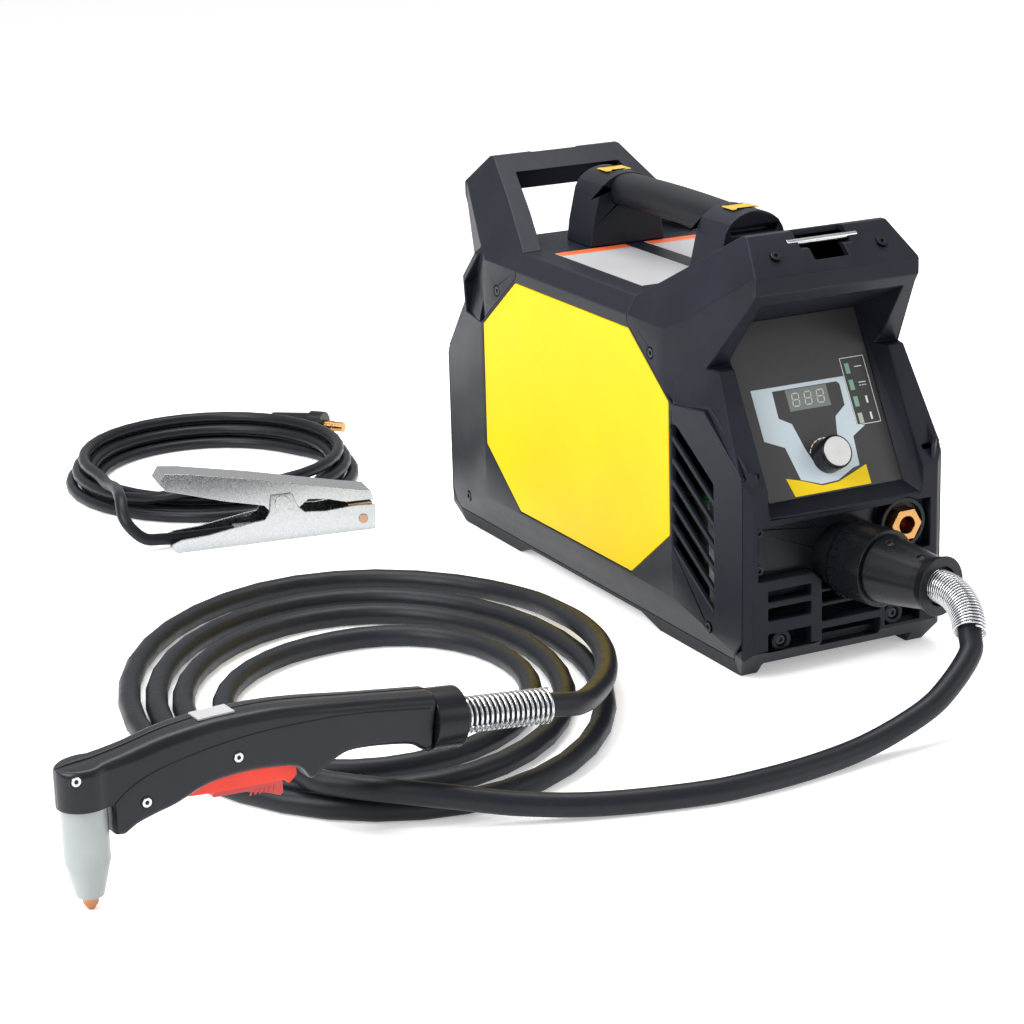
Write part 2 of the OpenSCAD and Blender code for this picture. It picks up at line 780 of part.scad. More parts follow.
module boot_screws() {
    color("#b9bcc0") on_connector() boot_screw_places() difference() {
        cylinder(d = 6, h = 2.4);
        translate([-4, -0.6, 1.4]) cube([8, 1.2, 2]);
    }
}
cap_face = ring_len + ring_gap + boot_len + cap_len - 5;

module work_socket() {
    color("#c8973e") on_socket() difference() {
        union() {
            cylinder(d = hex_af/cos(30), h = 13, $fn = 6);
            translate([0, 0, -24]) cylinder(d = shank_d, h = 25);
        }
        translate([0, 0, -16]) cylinder(d = socket_bore, h = 40);
    }
    color("#c8973e") on_socket() translate([0, 0, wall_y - face_back_y - 6]) difference() {
        cylinder(d = 28/cos(30), h = 6, $fn = 6);
        translate([0, 0, -1]) cylinder(d = shank_d, h = 8);
    }
}
collar_d = 38;
module socket_collar() {
    color("#17181a") on_socket() difference() {
        union() {
            cylinder(d = collar_d, h = 3);
            difference() {
                cylinder(d = collar_d, h = 8);
                translate([0, 0, -1]) cylinder(d = 32, h = 10);
            }
        }
        translate([0, 0, -1]) cylinder(d = hex_af/cos(30), h = 12, $fn = 6);
    }
}

// ---- Rear panel ----

module on_rear_slope() {
    translate([0, hl - rear_in, cheek_foot_z]) rotate([0, 0, 180]) rotate([90 - cheek_lean, 0, 0]) children();
}
fan_z = 84;
fan_bore = fan_size - 6;
fan_y = hl - rear_in - panel_t;
switch_at = [-34, 40];
gland_at = [36, 42];
inlet_at = [0, 24];
module rear_panel() {
    color("#3b3c40") difference() {
        mirror([0, 1, 0]) yz(-rear_w/2, rear_w/2)
            polygon(panel_side(rear_in, rear_in + panel_t, rear_z0, rear_up));
        translate([0, hl, fan_z]) rotate([90, 0, 0]) cylinder(d = fan_bore - 4, h = 60);
        on_rear_slope() {
            translate([switch_at[0] - 13.5, switch_at[1] - 11, -10]) cube([27, 22, 20]);
            translate([gland_at[0], gland_at[1], -20]) cylinder(d = 20, h = 40);
            translate([inlet_at[0], inlet_at[1], -20]) cylinder(d = 14, h = 40);
        }
        rear_screw_places() translate([0, 0, -8]) cylinder(d = screw_d, h = 9);
    }
}
module rear_screw_places() {
    on_rear_slope() both_sides() translate([rear_w/2 - 6, 68, 0]) children();
    both_sides() translate([rear_w/2 - 8, hl - rear_in, 32]) rotate([-90, 0, 0]) children();
}
module fan_guard() {
    color("#9a9da1") translate([0, hl - rear_in + 2, fan_z]) rotate([90, 0, 0]) {
        difference() {
            cylinder(d = fan_size - 2, h = 2);
            translate([0, 0, -1]) cylinder(d = fan_size - 7, h = 4);
        }
        for (d = [28, 46, 64]) difference() {
            cylinder(d = d, h = 2);
            translate([0, 0, -1]) cylinder(d = d - 4, h = 4);
        }
        for (a = [45 : 90 : 315]) rotate([0, 0, a]) translate([12.5, -1.2, 0])
            cube([fan_size/2 - 15, 2.4, 2]);
    }
}
module fan_frame() {
    color("#141518") translate([0, fan_y, fan_z]) rotate([90, 0, 0]) {
        difference() {
            translate([-fan_size/2, -fan_size/2, 0]) cube([fan_size, fan_size, fan_depth]);
            translate([0, 0, -1]) cylinder(d = fan_bore, h = fan_depth + 2);
            for (a = [45 : 90 : 315]) rotate([0, 0, a]) translate([fan_size/2*1.21, 0, -1])
                cylinder(d = 4.5, h = fan_depth + 2);
        }
        translate([0, 0, fan_depth - 3]) {
            cylinder(d = 34, h = 3);
            for (a = [0 : 90 : 270]) rotate([0, 0, a]) translate([16, -3, 0]) cube([fan_bore/2 - 15, 6, 3]);
        }
        translate([0, 0, 5]) cylinder(d = 6, h = fan_depth - 7);
    }
}
module fan_rotor() {
    color("#1b1c20") translate([0, fan_y, fan_z]) rotate([90, 0, 0]) {
        difference() {
            translate([0, 0, 3]) cylinder(d = 34, h = fan_depth - 7);
            translate([0, 0, 5 - run_fit]) cylinder(d = 6 + 2*run_fit, h = fan_depth);
        }
        intersection() {
            for (k = [0 : blade_n - 1]) rotate([0, 0, k*360/blade_n])
                translate([16, 0, fan_depth/2 - 1]) rotate([38, 0, 0]) translate([0, -10, -1])
                    cube([fan_bore/2 - 16, 20, 2]);
            translate([0, 0, 4]) cylinder(d = fan_bore - 2.4, h = fan_depth - 9);
        }
    }
}
module switch_bezel() {
    color("#17181a") on_rear_slope() translate([switch_at[0], switch_at[1], 0]) difference() {
        union() {
            translate([-16, -13, 0]) cube([32, 26, 1.5]);
            translate([-13.5, -11, -14]) cube([27, 22, 15]);
        }
        translate([-12, -9.5, -8]) cube([24, 19, 12]);
        rotate([0, 90, 0]) translate([0, 0, -13]) cylinder(d = 3 + 2*run_fit, h = 26);
    }
}
module switch_rocker() {
    color("#b3201d") on_rear_slope() translate([switch_at[0], switch_at[1], 0]) {
        intersection() {
            rotate([90, 0, 90]) translate([0, 0, -11.6])
                linear_extrude(23.2) polygon([[-9, -2], [-8.4, 3.6], [0, 1.6], [8.4, 5.2], [9, 0.5],
                    [3, -5], [-3, -5]]);
        }
        rotate([0, 90, 0]) translate([0, 0, -12.9]) cylinder(d = 3, h = 25.8);
    }
}
module mains_gland() {
    color("#17181a") on_rear_slope() translate([gland_at[0], gland_at[1], 0]) difference() {
        union() {
            translate([0, 0, -12]) cylinder(d = 20, h = 13);
            cylinder(d = 27/cos(30), h = 6, $fn = 6);
            translate([0, 0, 6]) cylinder(d1 = 24, d2 = 16, h = 12);
        }
        translate([0, 0, -13]) cylinder(d = 9, h = 40);
    }
}
module air_inlet() {
    color("#b9bcc0") on_rear_slope() translate([inlet_at[0], inlet_at[1], 0]) difference() {
        union() {
            translate([0, 0, -16]) cylinder(d = 14, h = 17);
            cylinder(d = 19/cos(30), h = 5, $fn = 6);
            translate([0, 0, 5]) cylinder(d = 12, h = 6);
            translate([0, 0, 11]) cylinder(d1 = 12, d2 = 9, h = 5);
            translate([0, 0, 16]) cylinder(d = 12, h = 5);
        }
        translate([0, 0, -4]) cylinder(d = 5, h = 40);
    }
}

// All the black screws of the cabinet
module cabinet_screws() {
    color("#3a3a3c") {
        side_screw_places() screw(8);
        both_ends() bar_screw_places() screw(10);
        for (b = boss_at) translate([b[0], -hl + 6, b[1]]) rotate([90, 0, 0]) screw(8);
        on_ceiling() screw(8);
        on_plate_screws() screw(7);
        rear_screw_places() screw(panel_t);
        for (p = handle_bolts) translate([p[0], p[1], top_z - cover_wall]) rotate([180, 0, 0])
            screw(cover_wall + 14);
    }
}

// ---- Inside ----

module heat_sink() {
    color("#a9adb2") difference() {
        block([-62, -150, belly_z], [-14, 100, 112]);
        for (k = [0 : 5]) block([-56, -151, 24 + k*14], [-24, 101, 33 + k*14]);
    }
}
module main_board() {
    color("#1e5b3a") {
        block([-70, -160, 112], [66, 110, 113.6]);
        for (p = [[30, -60], [30, -18], [30, 24]]) translate([p[0], p[1], 113.6]) cylinder(d = 35, h = 50);
    }
}
module transformer() {
    color("#6b4a2a") {
        difference() {
            block([6, -60, belly_z], [66, 30, 78]);
            block([5, -40, 33], [67, 10, 58]);
        }
    }
}

// ---- Leads: paths and tubes ----

function unit(v) = v/norm(v);
function spline(a, b, c, d, t) = 0.5*(2*b + (c - a)*t + (2*a - 5*b + 4*c - d)*t*t
    + (3*b - a - 3*c + d)*t*t*t);
// A smooth path through points, n steps between each two
function smooth(p, n) = let(m = len(p) - 1) [
    for (i = [0 : m - 1]) for (k = [0 : n - 1])
        spline(i > 0 ? p[i - 1] : 2*p[0] - p[1], p[i], p[i + 1], i + 2 <= m ? p[i + 2]
            : 2*p[m] - p[m - 1], k/n),
    p[m]];
function tangents(p) = [for (i = [0 : len(p) - 1]) unit(p[min(i + 1, len(p) - 1)] - p[max(i - 1, 0)])];
// Carries a side direction along a path without twist
function carried(t, n, i) = i == len(t) ? [] :
    let(m = unit(n - t[i]*(n*t[i]))) concat([m], carried(t, m, i + 1));
// A tube of n sides along the points p
module tube(p, d, n) {
    t = tangents(p);
    s = carried(t, abs(t[0][2]) < 0.8 ? [0, 0, 1] : [1, 0, 0], 0);
    points = [for (i = [0 : len(p) - 1]) let(b = cross(t[i], s[i])) for (k = [0 : n - 1])
        p[i] + d/2*(cos(k*360/n)*s[i] + sin(k*360/n)*b)];
    sides = [for (i = [0 : len(p) - 2]) for (k = [0 : n - 1]) let(a = i*n + k, b = i*n + (k + 1)%n)
        each [[a, a + n, b + n], [a, b + n, b]]];
    last = (len(p) - 1)*n;
    polyhedron(points, concat([[for (k = [0 : n - 1]) k]], sides, [[for (k = [n - 1 : -1 : 0]) last + k]]));
}
// Least gap between parts of one path that are more than skip points apart
function self_gap(p, d, skip) = min([for (i = [0 : len(p) - 1 - skip]) for (j = [i + skip : 1 : len(p) - 1])
    norm(p[i] - p[j])]) - d;
function path_gap(p, q, d) = min([for (a = p) for (b = q) norm(a - b)]) - d;
// A helix round a path: turns in all, eight points a turn, wire ends square to the end faces
function helix(p, r, wire, turns) = let(
    m = len(p) - 1, t = tangents(p), s = carried(t, [0, 0, 1], 0), n = round(turns*8),
    lead = [for (i = [0 : n])
        let(f = (wire*1.6 + (path_len(p) - wire*3.2)*i/n)/path_len(p)*m, k = min(floor(f), m - 1),
        g = f - k, c = p[k]*(1 - g) + p[k + 1]*g, u = unit(s[k]*(1 - g) + s[k + 1]*g),
        v = cross(unit(t[k]*(1 - g) + t[k + 1]*g), u), a = i*45)
        c + r*(cos(a)*u + sin(a)*v)])
    concat([lead[0] - t[0]*wire*1.6 - (lead[1] - lead[0])*0.15,
        lead[0] - t[0]*wire*0.6 - (lead[1] - lead[0])*0.15],
        lead, [lead[n] + t[m]*wire*0.6 + (lead[n] - lead[n - 1])*0.15,
        lead[n] + t[m]*wire*1.6 + (lead[n] - lead[n - 1])*0.15]);
function path_len(p) = norm([for (i = [0 : len(p) - 2])
    norm(p[i + 1] - p[i])]*[for (i = [0 : len(p) - 2]) [1, 0]]);

// Torch connector end: where the lead leaves the boot, and the bend inside its spring
conn_dir = [sin(conn_turn), -cos(conn_turn), 0];
conn_end = [conn_x, -hl - 2, conn_z] + conn_dir*cap_face;
bend_r = 53;
bend_a = 60;
bend_tilt = 40;
// Way in which the bend turns: down and to the machine's right
bend_down = -[cos(conn_turn)*sin(bend_tilt), sin(conn_turn)*sin(bend_tilt), cos(bend_tilt)];
bend = [for (i = [0 : 12]) let(a = bend_a*i/12)
    conn_end + conn_dir*(2 + bend_r*sin(a)) + bend_down*bend_r*(1 - cos(a))];
sleeve_path = concat([conn_end], bend);
connector_curls = 15;
module connector_spring() {
    h = helix(sleeve_path, (spring_d - wire_d)/2, wire_d, connector_curls);
    echo(connector_spring_gap = self_gap(h, wire_d, 5));
    color("#d4d6d9") tube(h, wire_d, 6);
}

// Torch in its own upright plane: x along the handle, y across, z up, tip on the floor
torch_at = [-612, -353.6, 0];
torch_yaw = 5;
module on_torch() { translate(torch_at) rotate([0, 0, torch_yaw]) children(); }
function in_torch(u, z) = torch_at + [u*cos(torch_yaw), u*sin(torch_yaw), z];
tail_at = [243, 65];
tail_lean = 7;
tail_len = 22;
tail_dir = [cos(tail_lean), -sin(tail_lean)];
tail_face = tail_at + tail_dir*tail_len/2;
torch_spring_len = 73;
torch_curls = 17;
torch_sleeve = [for (i = [0 : 20]) let(q = tail_face + tail_dir*torch_spring_len*i/20) in_torch(q[0], q[1])];
module torch_spring() {
    h = helix(torch_sleeve, (spring_d - wire_d)/2, torch_wire_d, torch_curls);
    echo(torch_spring_gap = self_gap(h, torch_wire_d, 5));
    color("#d4d6d9") tube(h, torch_wire_d, 6);
}

// Loops of the torch lead: extremes of each loop
floor_z = lead_d/2;
loop_right = [-128, -163, -188, -214];
loop_top = [117, 72, 35, -20];
loop_left = [-494, -477, -460, -438];
loop_bottom = [-341, -303, -266, -266];
loop_skew = 8;
loop_start = -12;
loop_end = 1238;
function along(v, s) = let(k = max(0, min(floor(s), len(v) - 2)),
    g = max(0, min(1, s - k))) v[k]*(1 - g) + v[k + 1]*g;
function loop_point(a) = let(
    r = along(loop_right, a/360), l = along(loop_left, (a - 180)/360),
    t = along(loop_top, (a - 82)/360), b = along(loop_bottom, (a - 262)/360))
    [(r + l)/2 + (r - l)/2*cos(a), (t + b)/2 + (t - b)/2*sin(a + loop_skew), floor_z];
torch_coil = [for (a = [loop_start : 15 : loop_end]) loop_point(a)];
coil_in = unit(torch_coil[1] - torch_coil[0]);
coil_out = unit(torch_coil[len(torch_coil) - 1] - torch_coil[len(torch_coil) - 2]);
coil_last = torch_coil[len(torch_coil) - 1];
torch_drop = smooth([in_torch(tail_face[0], tail_face[1]), in_torch(tail_face[0] + 6, tail_face[1] - 0.7),
    in_torch(tail_face[0] + 16, tail_face[1] - 1.9), in_torch(tail_face[0] + 40, tail_face[1] - 4.9),
    in_torch(tail_face[0] + 74, tail_face[1] - 9.1), [-261, -318, 49], [-229, -282, 40],
    [-200, -241.5, 31.5], [-172, -202, 24], [-149, -169.5, 17], [-138.7, -153.5, 12.6],
    [-134.4, -142.5, 9], torch_coil[0] - coil_in*7 + [0, 0, 0.15],
    torch_coil[0] - coil_in*end_fit + [0, 0, 0.02]], 4);
torch_floor = smooth([coil_last, coil_last + coil_out*6, [-436, -152, 14], [-440, -190, 24.6],
    [-444, -240, 25], [-442, -290, 25], [-428, -314, 25], [-402, -340, 24.6], [-373, -358, 21],
    [-334, -373, 13.5], [-287, -389, 9], [-223, -405, 8], [-180, -407.5, 8], [-131, -403, 8],
    [-86, -397, 11.5], [-41, -392, 23.3], [-15, -385.3, 35.6], bend[12] + 14*unit(bend[12] - bend[11]),
    bend[12]], 4);
module torch_lead_run() {
    p = concat(torch_floor, [for (i = [11 : -1 : 0]) bend[i]], [conn_end]);
    echo(lead_run_length = path_len(p), lead_run_gap = self_gap(p, lead_d, 14));
    color("#17181b") tube(p, lead_d, 8);
}
module torch_lead_coil() {
    echo(torch_coil_gap = self_gap(torch_coil, lead_d, 12), torch_coil_length = path_len(torch_coil),
        coil_to_run = path_gap(torch_coil, [for (i = [8 : len(torch_floor) - 1]) torch_floor[i]], lead_d),
        coil_to_drop = path_gap([for (i = [6 : len(torch_coil) - 1]) torch_coil[i]], torch_drop, lead_d),
        drop_length = path_len(torch_drop));
    color("#17181b") tube(torch_coil, lead_d, 6);
}
module torch_lead_drop() { color("#17181b") tube(torch_drop, lead_d, 8); }

// ---- Torch ----

head_r = 16.5;
torch_side = [[-12, 67], [-12, 92.6], [6, 94], [26, 97], [52, 102], [78, 104.7], [94, 104.5], [120, 103.6],
    [146, 100.3], [173, 96], [201, 91.7], [234, 86.5], [228.5, 50.5], [217, 56.6], [195, 61], [174, 63.3],
    [164, 62], [152, 56], [144, 51.5], [140, 52.5], [139, 59.5], [129, 63.6], [102, 66.8], [75, 66],
    [54, 57.6], [41, 54.5], [28, 50.8], [20, 46.2], [14, 47.4], [14, 67]];
trigger_slot = [[53, 50], [53, 62], [60, 74], [139, 74], [139, 50]];
slot_w = 14;
torch_screw_at = [[-9, 89], [34, 64.3], [95, 78.5]];
module torch_body() {
    difference() {
        intersection() {
            union() {
                rotate([90, 0, 0]) translate([0, 0, -torch_w/2]) linear_extrude(torch_w) polygon(torch_side);
                translate([0, 0, 67]) cylinder(r = head_r, h = 25.6);
            }
            union() {
                translate([0, 0, 40]) linear_extrude(80) polygon([[0, -14], [30, -14], [60, -torch_w/2],
                    [150, -torch_w/2], [190, -13.5], [240, -14], [240, 14], [190, 13.5], [150, torch_w/2],
                    [60, torch_w/2], [30, 14], [0, 14]]);
                translate([0, 0, 40]) cylinder(r = head_r, h = 80);
            }
        }
        translate([0, 0, 40]) cylinder(d = cup_d + 1, h = 27);
        translate([0, 0, 60]) cylinder(d = 20, h = 20);
        rotate([90, 0, 0]) translate([0, 0, -slot_w/2]) linear_extrude(slot_w) polygon(trigger_slot);
        rotate([90, 0, 0]) translate([0, 0, -slot_w/2 + 2]) linear_extrude(slot_w - 4)
            polygon([[60, 73], [60, 88], [150, 88], [150, 73]]);
        rotate([90, 0, 0]) translate([64, 70, -slot_w/2 - 3]) cylinder(d = 3 + 2*run_fit, h = slot_w + 6);
        torch_screw_places() cylinder(d = 6.4, h = 20);
        block([74, -7, 104.1], [98, 7, 110]);
        translate([tail_at[0], 0, tail_at[1]]) rotate([0, 90 + tail_lean, 0])
            translate([0, 0, -tail_len/2]) cylinder(d = tail_d + 20, h = 60);
    }
}
module torch_screw_places() {
    for (q = torch_screw_at) translate([q[0], -torch_w/2 + (q[0] < 0 ? 3.6 : 2.4), q[1]])
        rotate([90, 0, 0]) children();
}
module torch_half_front() {
    color("#1a1b1d") on_torch() intersection() {
        torch_body();
        block([-30, -40, 0], [300, 0, 140]);
    }
}
module torch_half_back() {
    color("#1a1b1d") on_torch() intersection() {
        torch_body();
        block([-30, 0, 0], [300, 40, 140]);
    }
}
module torch_screws() {
    color("#c9ccd0") on_torch() torch_screw_places() difference() {
        cylinder(d = 6.4, h = 1.8);
        translate([0, 0, 0.8]) cylinder(d = 3, h = 2, $fn = 6);
    }
}
module torch_tail_ring() {
    color("#141517") on_torch() translate([tail_at[0], 0, tail_at[1]]) rotate([0, 90 + tail_lean, 0])
        translate([0, 0, -tail_len/2]) cylinder(d = tail_d, h = tail_len);
}
// Trigger lever and the button in it; the lever turns on a pin, the button slides up in the lever
lever_w = slot_w - 1;
lever_side = [[56, 59], [62, 63.5], [60, 71], [66, 73], [76, 66.4], [102, 66.6], [137.8, 63],
    [137.8, 54.5], [132, 50],
    [129.4, 53], [80, 56], [64, 57.6]];
lever_pin = [64, 70];
button_u = [82, 129];
button_w = 8.6;
module trigger_lever() {
    color("#c81e1c") on_torch() difference() {
        union() {
            rotate([90, 0, 0]) translate([0, 0, -lever_w/2]) linear_extrude(lever_w) polygon(lever_side);
            translate([lever_pin[0], slot_w/2 + 2.8, lever_pin[1]]) rotate([90, 0, 0])
                cylinder(d = 3, h = slot_w + 5.6);
        }
        block([button_u[0] - 0.1, -button_w/2 - 0.1, 40], [button_u[1] + 0.1, button_w/2 + 0.1, 62.6]);
    }
}
module trigger_button() {
    color("#d8433f") on_torch() rotate([90, 0, 0]) translate([0, 0, -button_w/2]) linear_extrude(button_w)
        polygon([[button_u[0], 60], [button_u[1], 60], [button_u[1], 44], [127, 42.6], [118, 46.4],
            [104, 50.4], [button_u[0], 52]]);
}
module shield_cup() {
    color("#8f9492") on_torch() difference() {
        union() {
            translate([0, 0, 32]) cylinder(d = cup_d, h = 35);
            translate([0, 0, 9]) cylinder(d1 = 17, d2 = cup_d, h = 23);
        }
        translate([0, 0, 0]) cylinder(d = tip_d, h = 30);
        translate([0, 0, 30]) cylinder(d = 20, h = 40);
    }
}
module cutting_tip() {
    color("#b86b34") on_torch() {
        cylinder(d1 = 4, d2 = tip_d, h = 4.5);
        translate([0, 0, 4.5]) cylinder(d = tip_d, h = 25.5);
    }
}

// ---- Work lead, plug and clamp ----

plug_at = [-82, 524, 14];
plug_yaw = -50;
plug_dir = [cos(plug_yaw), sin(plug_yaw), 0];
plug_len = 46;
pile_at = [-215, 452];
pile_r = 112;
pile_turn = 110;
pile_slots = [[1.22, 0.5], [0, 0.5], [-1.22, 0.5], [-0.61, 1.56], [0.61, 1.56], [0, 2.62]]*work_d;
// Angle along a loop at which each strand moves to the next slot, last strand first
slot_turns = [285, 235, 190, 145, 100];
pile_last = 5*360 + 75;
function ease(s) = let(g = max(0, min(1, s))) g*g*(3 - 2*g);
function pile_point(a) = let(k = min(5, floor(a/360)), g = a - 360*k,
    c = k < 5 ? pile_slots[k] + (pile_slots[k + 1] - pile_slots[k])*ease((g - slot_turns[k])/40)
        : pile_slots[5],
    b = a + pile_turn, r = pile_r + c[0])
    [pile_at[0] + r*cos(b), pile_at[1] + (r + 6)*sin(b), c[1]];
work_coil = [for (a = [0 : 15 : pile_last]) pile_point(a)];
work_in = unit(work_coil[1] - work_coil[0]);
work_out = unit(work_coil[len(work_coil) - 1] - work_coil[len(work_coil) - 2]);
work_last = work_coil[len(work_coil) - 1];
clamp_at = [-316.3, 281.5, 0];
clamp_yaw = -8;
module on_clamp() { translate(clamp_at) rotate([0, 0, clamp_yaw]) children(); }
function in_clamp(u, v, z) = clamp_at + [u*cos(clamp_yaw) - v*sin(clamp_yaw),
    u*sin(clamp_yaw) + v*cos(clamp_yaw), z];
plug_rear = plug_at - plug_dir*plug_len;
work_start = smooth([plug_rear, plug_rear - plug_dir*6, plug_rear - plug_dir*14,
    plug_rear - plug_dir*24 + [-3, 0, -2], [-155, 590, 7], [-180, 594, 5.8], [-206, 593.6, 5.3],
    work_coil[0] - work_in*30 + [0, 0, 0.12], work_coil[0] - work_in*16 + [0, 0, 0.06],
    work_coil[0] - work_in*7 + [0, 0, 0.03], work_coil[0] - work_in*end_fit + [0, 0, 0.01]], 4);
work_finish = smooth([work_last + work_out*end_fit, work_last + work_out*7, work_last + work_out*16,
    [-330, 402, 26.6], [-335, 370, 33], [-343, 338, 38.5], [-350, 312, 39], [-353, 295, 26],
    [-342, 285.5, 12], in_clamp(-10, 0, 9), in_clamp(20, 0, 8), in_clamp(40, 0, 8), in_clamp(50, 0, 8)], 3);
module work_lead_coil() {
    echo(work_coil_gap = self_gap(work_coil, work_d, 12),
        work_length = path_len(work_coil) + path_len(work_start) + path_len(work_finish),
        start_gap = path_gap([for (i = [3 : len(work_coil) - 1]) work_coil[i]], work_start, work_d),
        end_gap = path_gap([for (i = [0 : len(work_coil) - 4]) work_coil[i]], work_finish, work_d));
    color("#1b1c1f") tube(work_coil, work_d, 6);
}
module work_lead_start() { color("#1b1c1f") tube(work_start, work_d, 8); }
module work_lead_finish() { color("#1b1c1f") tube(work_finish, work_d, 8); }

module on_plug() { translate(plug_at) rotate([0, 0, plug_yaw]) rotate([0, 90, 0]) children(); }
module work_plug() {
    color("#141518") on_plug() {
        translate([0, 0, -plug_len]) cylinder(d1 = 17, d2 = 22, h = plug_len - 6);
        translate([0, 0, -6]) cylinder(d = 26, h = 14);
    }
}
module plug_pin() {
    color("#c8973e") on_plug() translate([0, 0, 8]) {
        cylinder(d = 10.4, h = 9.5);
        cylinder(d = 9, h = 20);
        translate([3.6, -1.5, 3.5]) cube([2.6, 3, 6]);
    }
}

pivot = [89, 32];
lower_side = [[-5, 3], [0, 0], [168, 0], [169, 21], [151, 22.2], [125, 20.5], [108, 22], [102, 28],
    [98, 39], [80, 39], [78, 26], [74, 19.4], [65, 18.5], [26, 12.2], [3, 10.9], [-5, 8]];
upper_side = [[-13, 60], [-8, 67.9], [8, 66.1], [67, 54.7], [109, 45.1], [143, 37.6], [166, 33],
    [168, 25], [144, 25.4], [128, 30], [112, 32], [104, 26], [97, 22.5], [81, 22.5], [74, 31], [40, 39],
    [7, 49.1], [-8, 53.5]];
upper_in = [[-14, 50], [-14, 56], [-7.2, 65.4], [8, 63.9], [67, 52.5], [109, 42.9], [143, 35.4],
    [164, 31], [170, 20], [60, 10]];
arm_gap = 0.1;
upper_w = clamp_w - 2*sheet_t - 2*arm_gap;
module across(w) { rotate([90, 0, 0]) translate([0, 0, -w/2]) linear_extrude(w) children(); }
module clamp_lower() {
    color("#c3c6ca") on_clamp() {
        block([50, -5, sheet_t], [66, 5, 13]);
        block([60, -5, sheet_t], [76, 5, 4]);
        translate([72, 0, 4]) cylinder(d = 8, h = 3, $fn = 6);
    }
    color("#c3c6ca") on_clamp() difference() {
        across(clamp_w) polygon(lower_side);
        translate([0, 0, sheet_t]) across(clamp_w - 2*sheet_t)
            polygon([[-10, 0], [180, 0], [180, 60], [-10, 60]]);
        translate([pivot[0], 50, pivot[1]]) rotate([90, 0, 0]) cylinder(d = pivot_d, h = 100);
    }
}
module clamp_upper() {
    color("#c3c6ca") on_clamp() difference() {
        across(upper_w) polygon(upper_side);
        across(upper_w - 2*sheet_t) polygon(upper_in);
        translate([pivot[0], 50, pivot[1]]) rotate([90, 0, 0]) cylinder(d = pivot_d + 2*run_fit, h = 100);
    }
}
module clamp_rivet() {
    color("#b4b7bb") on_clamp() translate([pivot[0], 0, pivot[1]]) rotate([90, 0, 0]) {
        translate([0, 0, -clamp_w/2]) cylinder(d = pivot_d, h = clamp_w);
        for (s = [-1, 1]) translate([0, 0, s*(clamp_w/2 + 0.75) - 0.75]) cylinder(d = 13, h = 1.5);
    }
}
module jaw_lower() {
    color("#b86b34") on_clamp() {
        block([146, -clamp_w/2 + sheet_t, 16], [167, clamp_w/2 - sheet_t, 23.4]);
        translate([158, clamp_w/2 + 1.2, 10]) rotate([90, 0, 0]) cylinder(d = 8, h = 1.2);
        translate([158, -clamp_w/2, 10]) rotate([90, 0, 0]) cylinder(d = 8, h = 1.2);
        block([152, -clamp_w/2 + sheet_t, 7], [164, clamp_w/2 - sheet_t, 16]);
    }
}
module jaw_upper() {
    color("#b86b34") on_clamp() {
        block([146, -upper_w/2 + sheet_t, 24.4], [163.5, upper_w/2 - sheet_t, 30.6]);
        translate([156, 0, 30.6]) cylinder(d = 5, h = 1);
    }
}
clamp_curls = 5;
clamp_wire_d = 2.2;
module clamp_spring() {
    r = 7.6;
    pitch = 3.2;
    n = clamp_curls*8;
    w = pitch*clamp_curls;
    h = concat([[pivot[0] - 34, -w/2, 3.2], [pivot[0] - 30, -w/2, 4.2], [pivot[0] - 12, -w/2, pivot[1] - 15]],
        [for (i = [0 : n]) let(a = 215 + i*45) [pivot[0] + r*cos(a), -w/2 + w*i/n, pivot[1] + r*sin(a)]],
        [[pivot[0] - 10, w/2, pivot[1] + 5], [pivot[0] - 30, w/2, pivot[1] + 7]]);
    echo(clamp_spring_gap = self_gap(h, clamp_wire_d, 5));
    color("#d4d6d9") on_clamp() tube(h, clamp_wire_d, 6);
}

cover();
base_tray();
side_plate_left();
side_plate_right();
front_frame();
rear_frame();
tie_rods();
cabinet_screws();
handle();
handle_grip();
handle_badges();
labels();
control_panel();
display_window();
panel_lamps();
display_board();
knob();
knob_shaft();
connector_plate();
torch_receptacle();
locking_ring();
boot();
boot_screws();
work_socket();
socket_collar();
rear_panel();
fan_guard();
fan_frame();
fan_rotor();
switch_bezel();
switch_rocker();
mains_gland();
air_inlet();
heat_sink();
main_board();
transformer();
connector_spring();
torch_lead_run();
torch_lead_coil();
torch_lead_drop();
torch_spring();
torch_half_front();
torch_half_back();
torch_screws();
torch_tail_ring();
trigger_lever();
trigger_button();
shield_cup();
cutting_tip();
work_lead_start();
work_lead_coil();
work_lead_finish();
work_plug();
plug_pin();
clamp_lower();
clamp_upper();
clamp_rivet();
clamp_spring();
jaw_lower();
jaw_upper();
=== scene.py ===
"""Portable plasma cutting unit with its hand torch, work lead and clamp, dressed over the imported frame."""

import json
import logging
import math
from dataclasses import dataclass, field
from enum import Enum
from typing import Callable, Iterable, Sequence

import bmesh
import bpy
from mathutils import Matrix, Vector

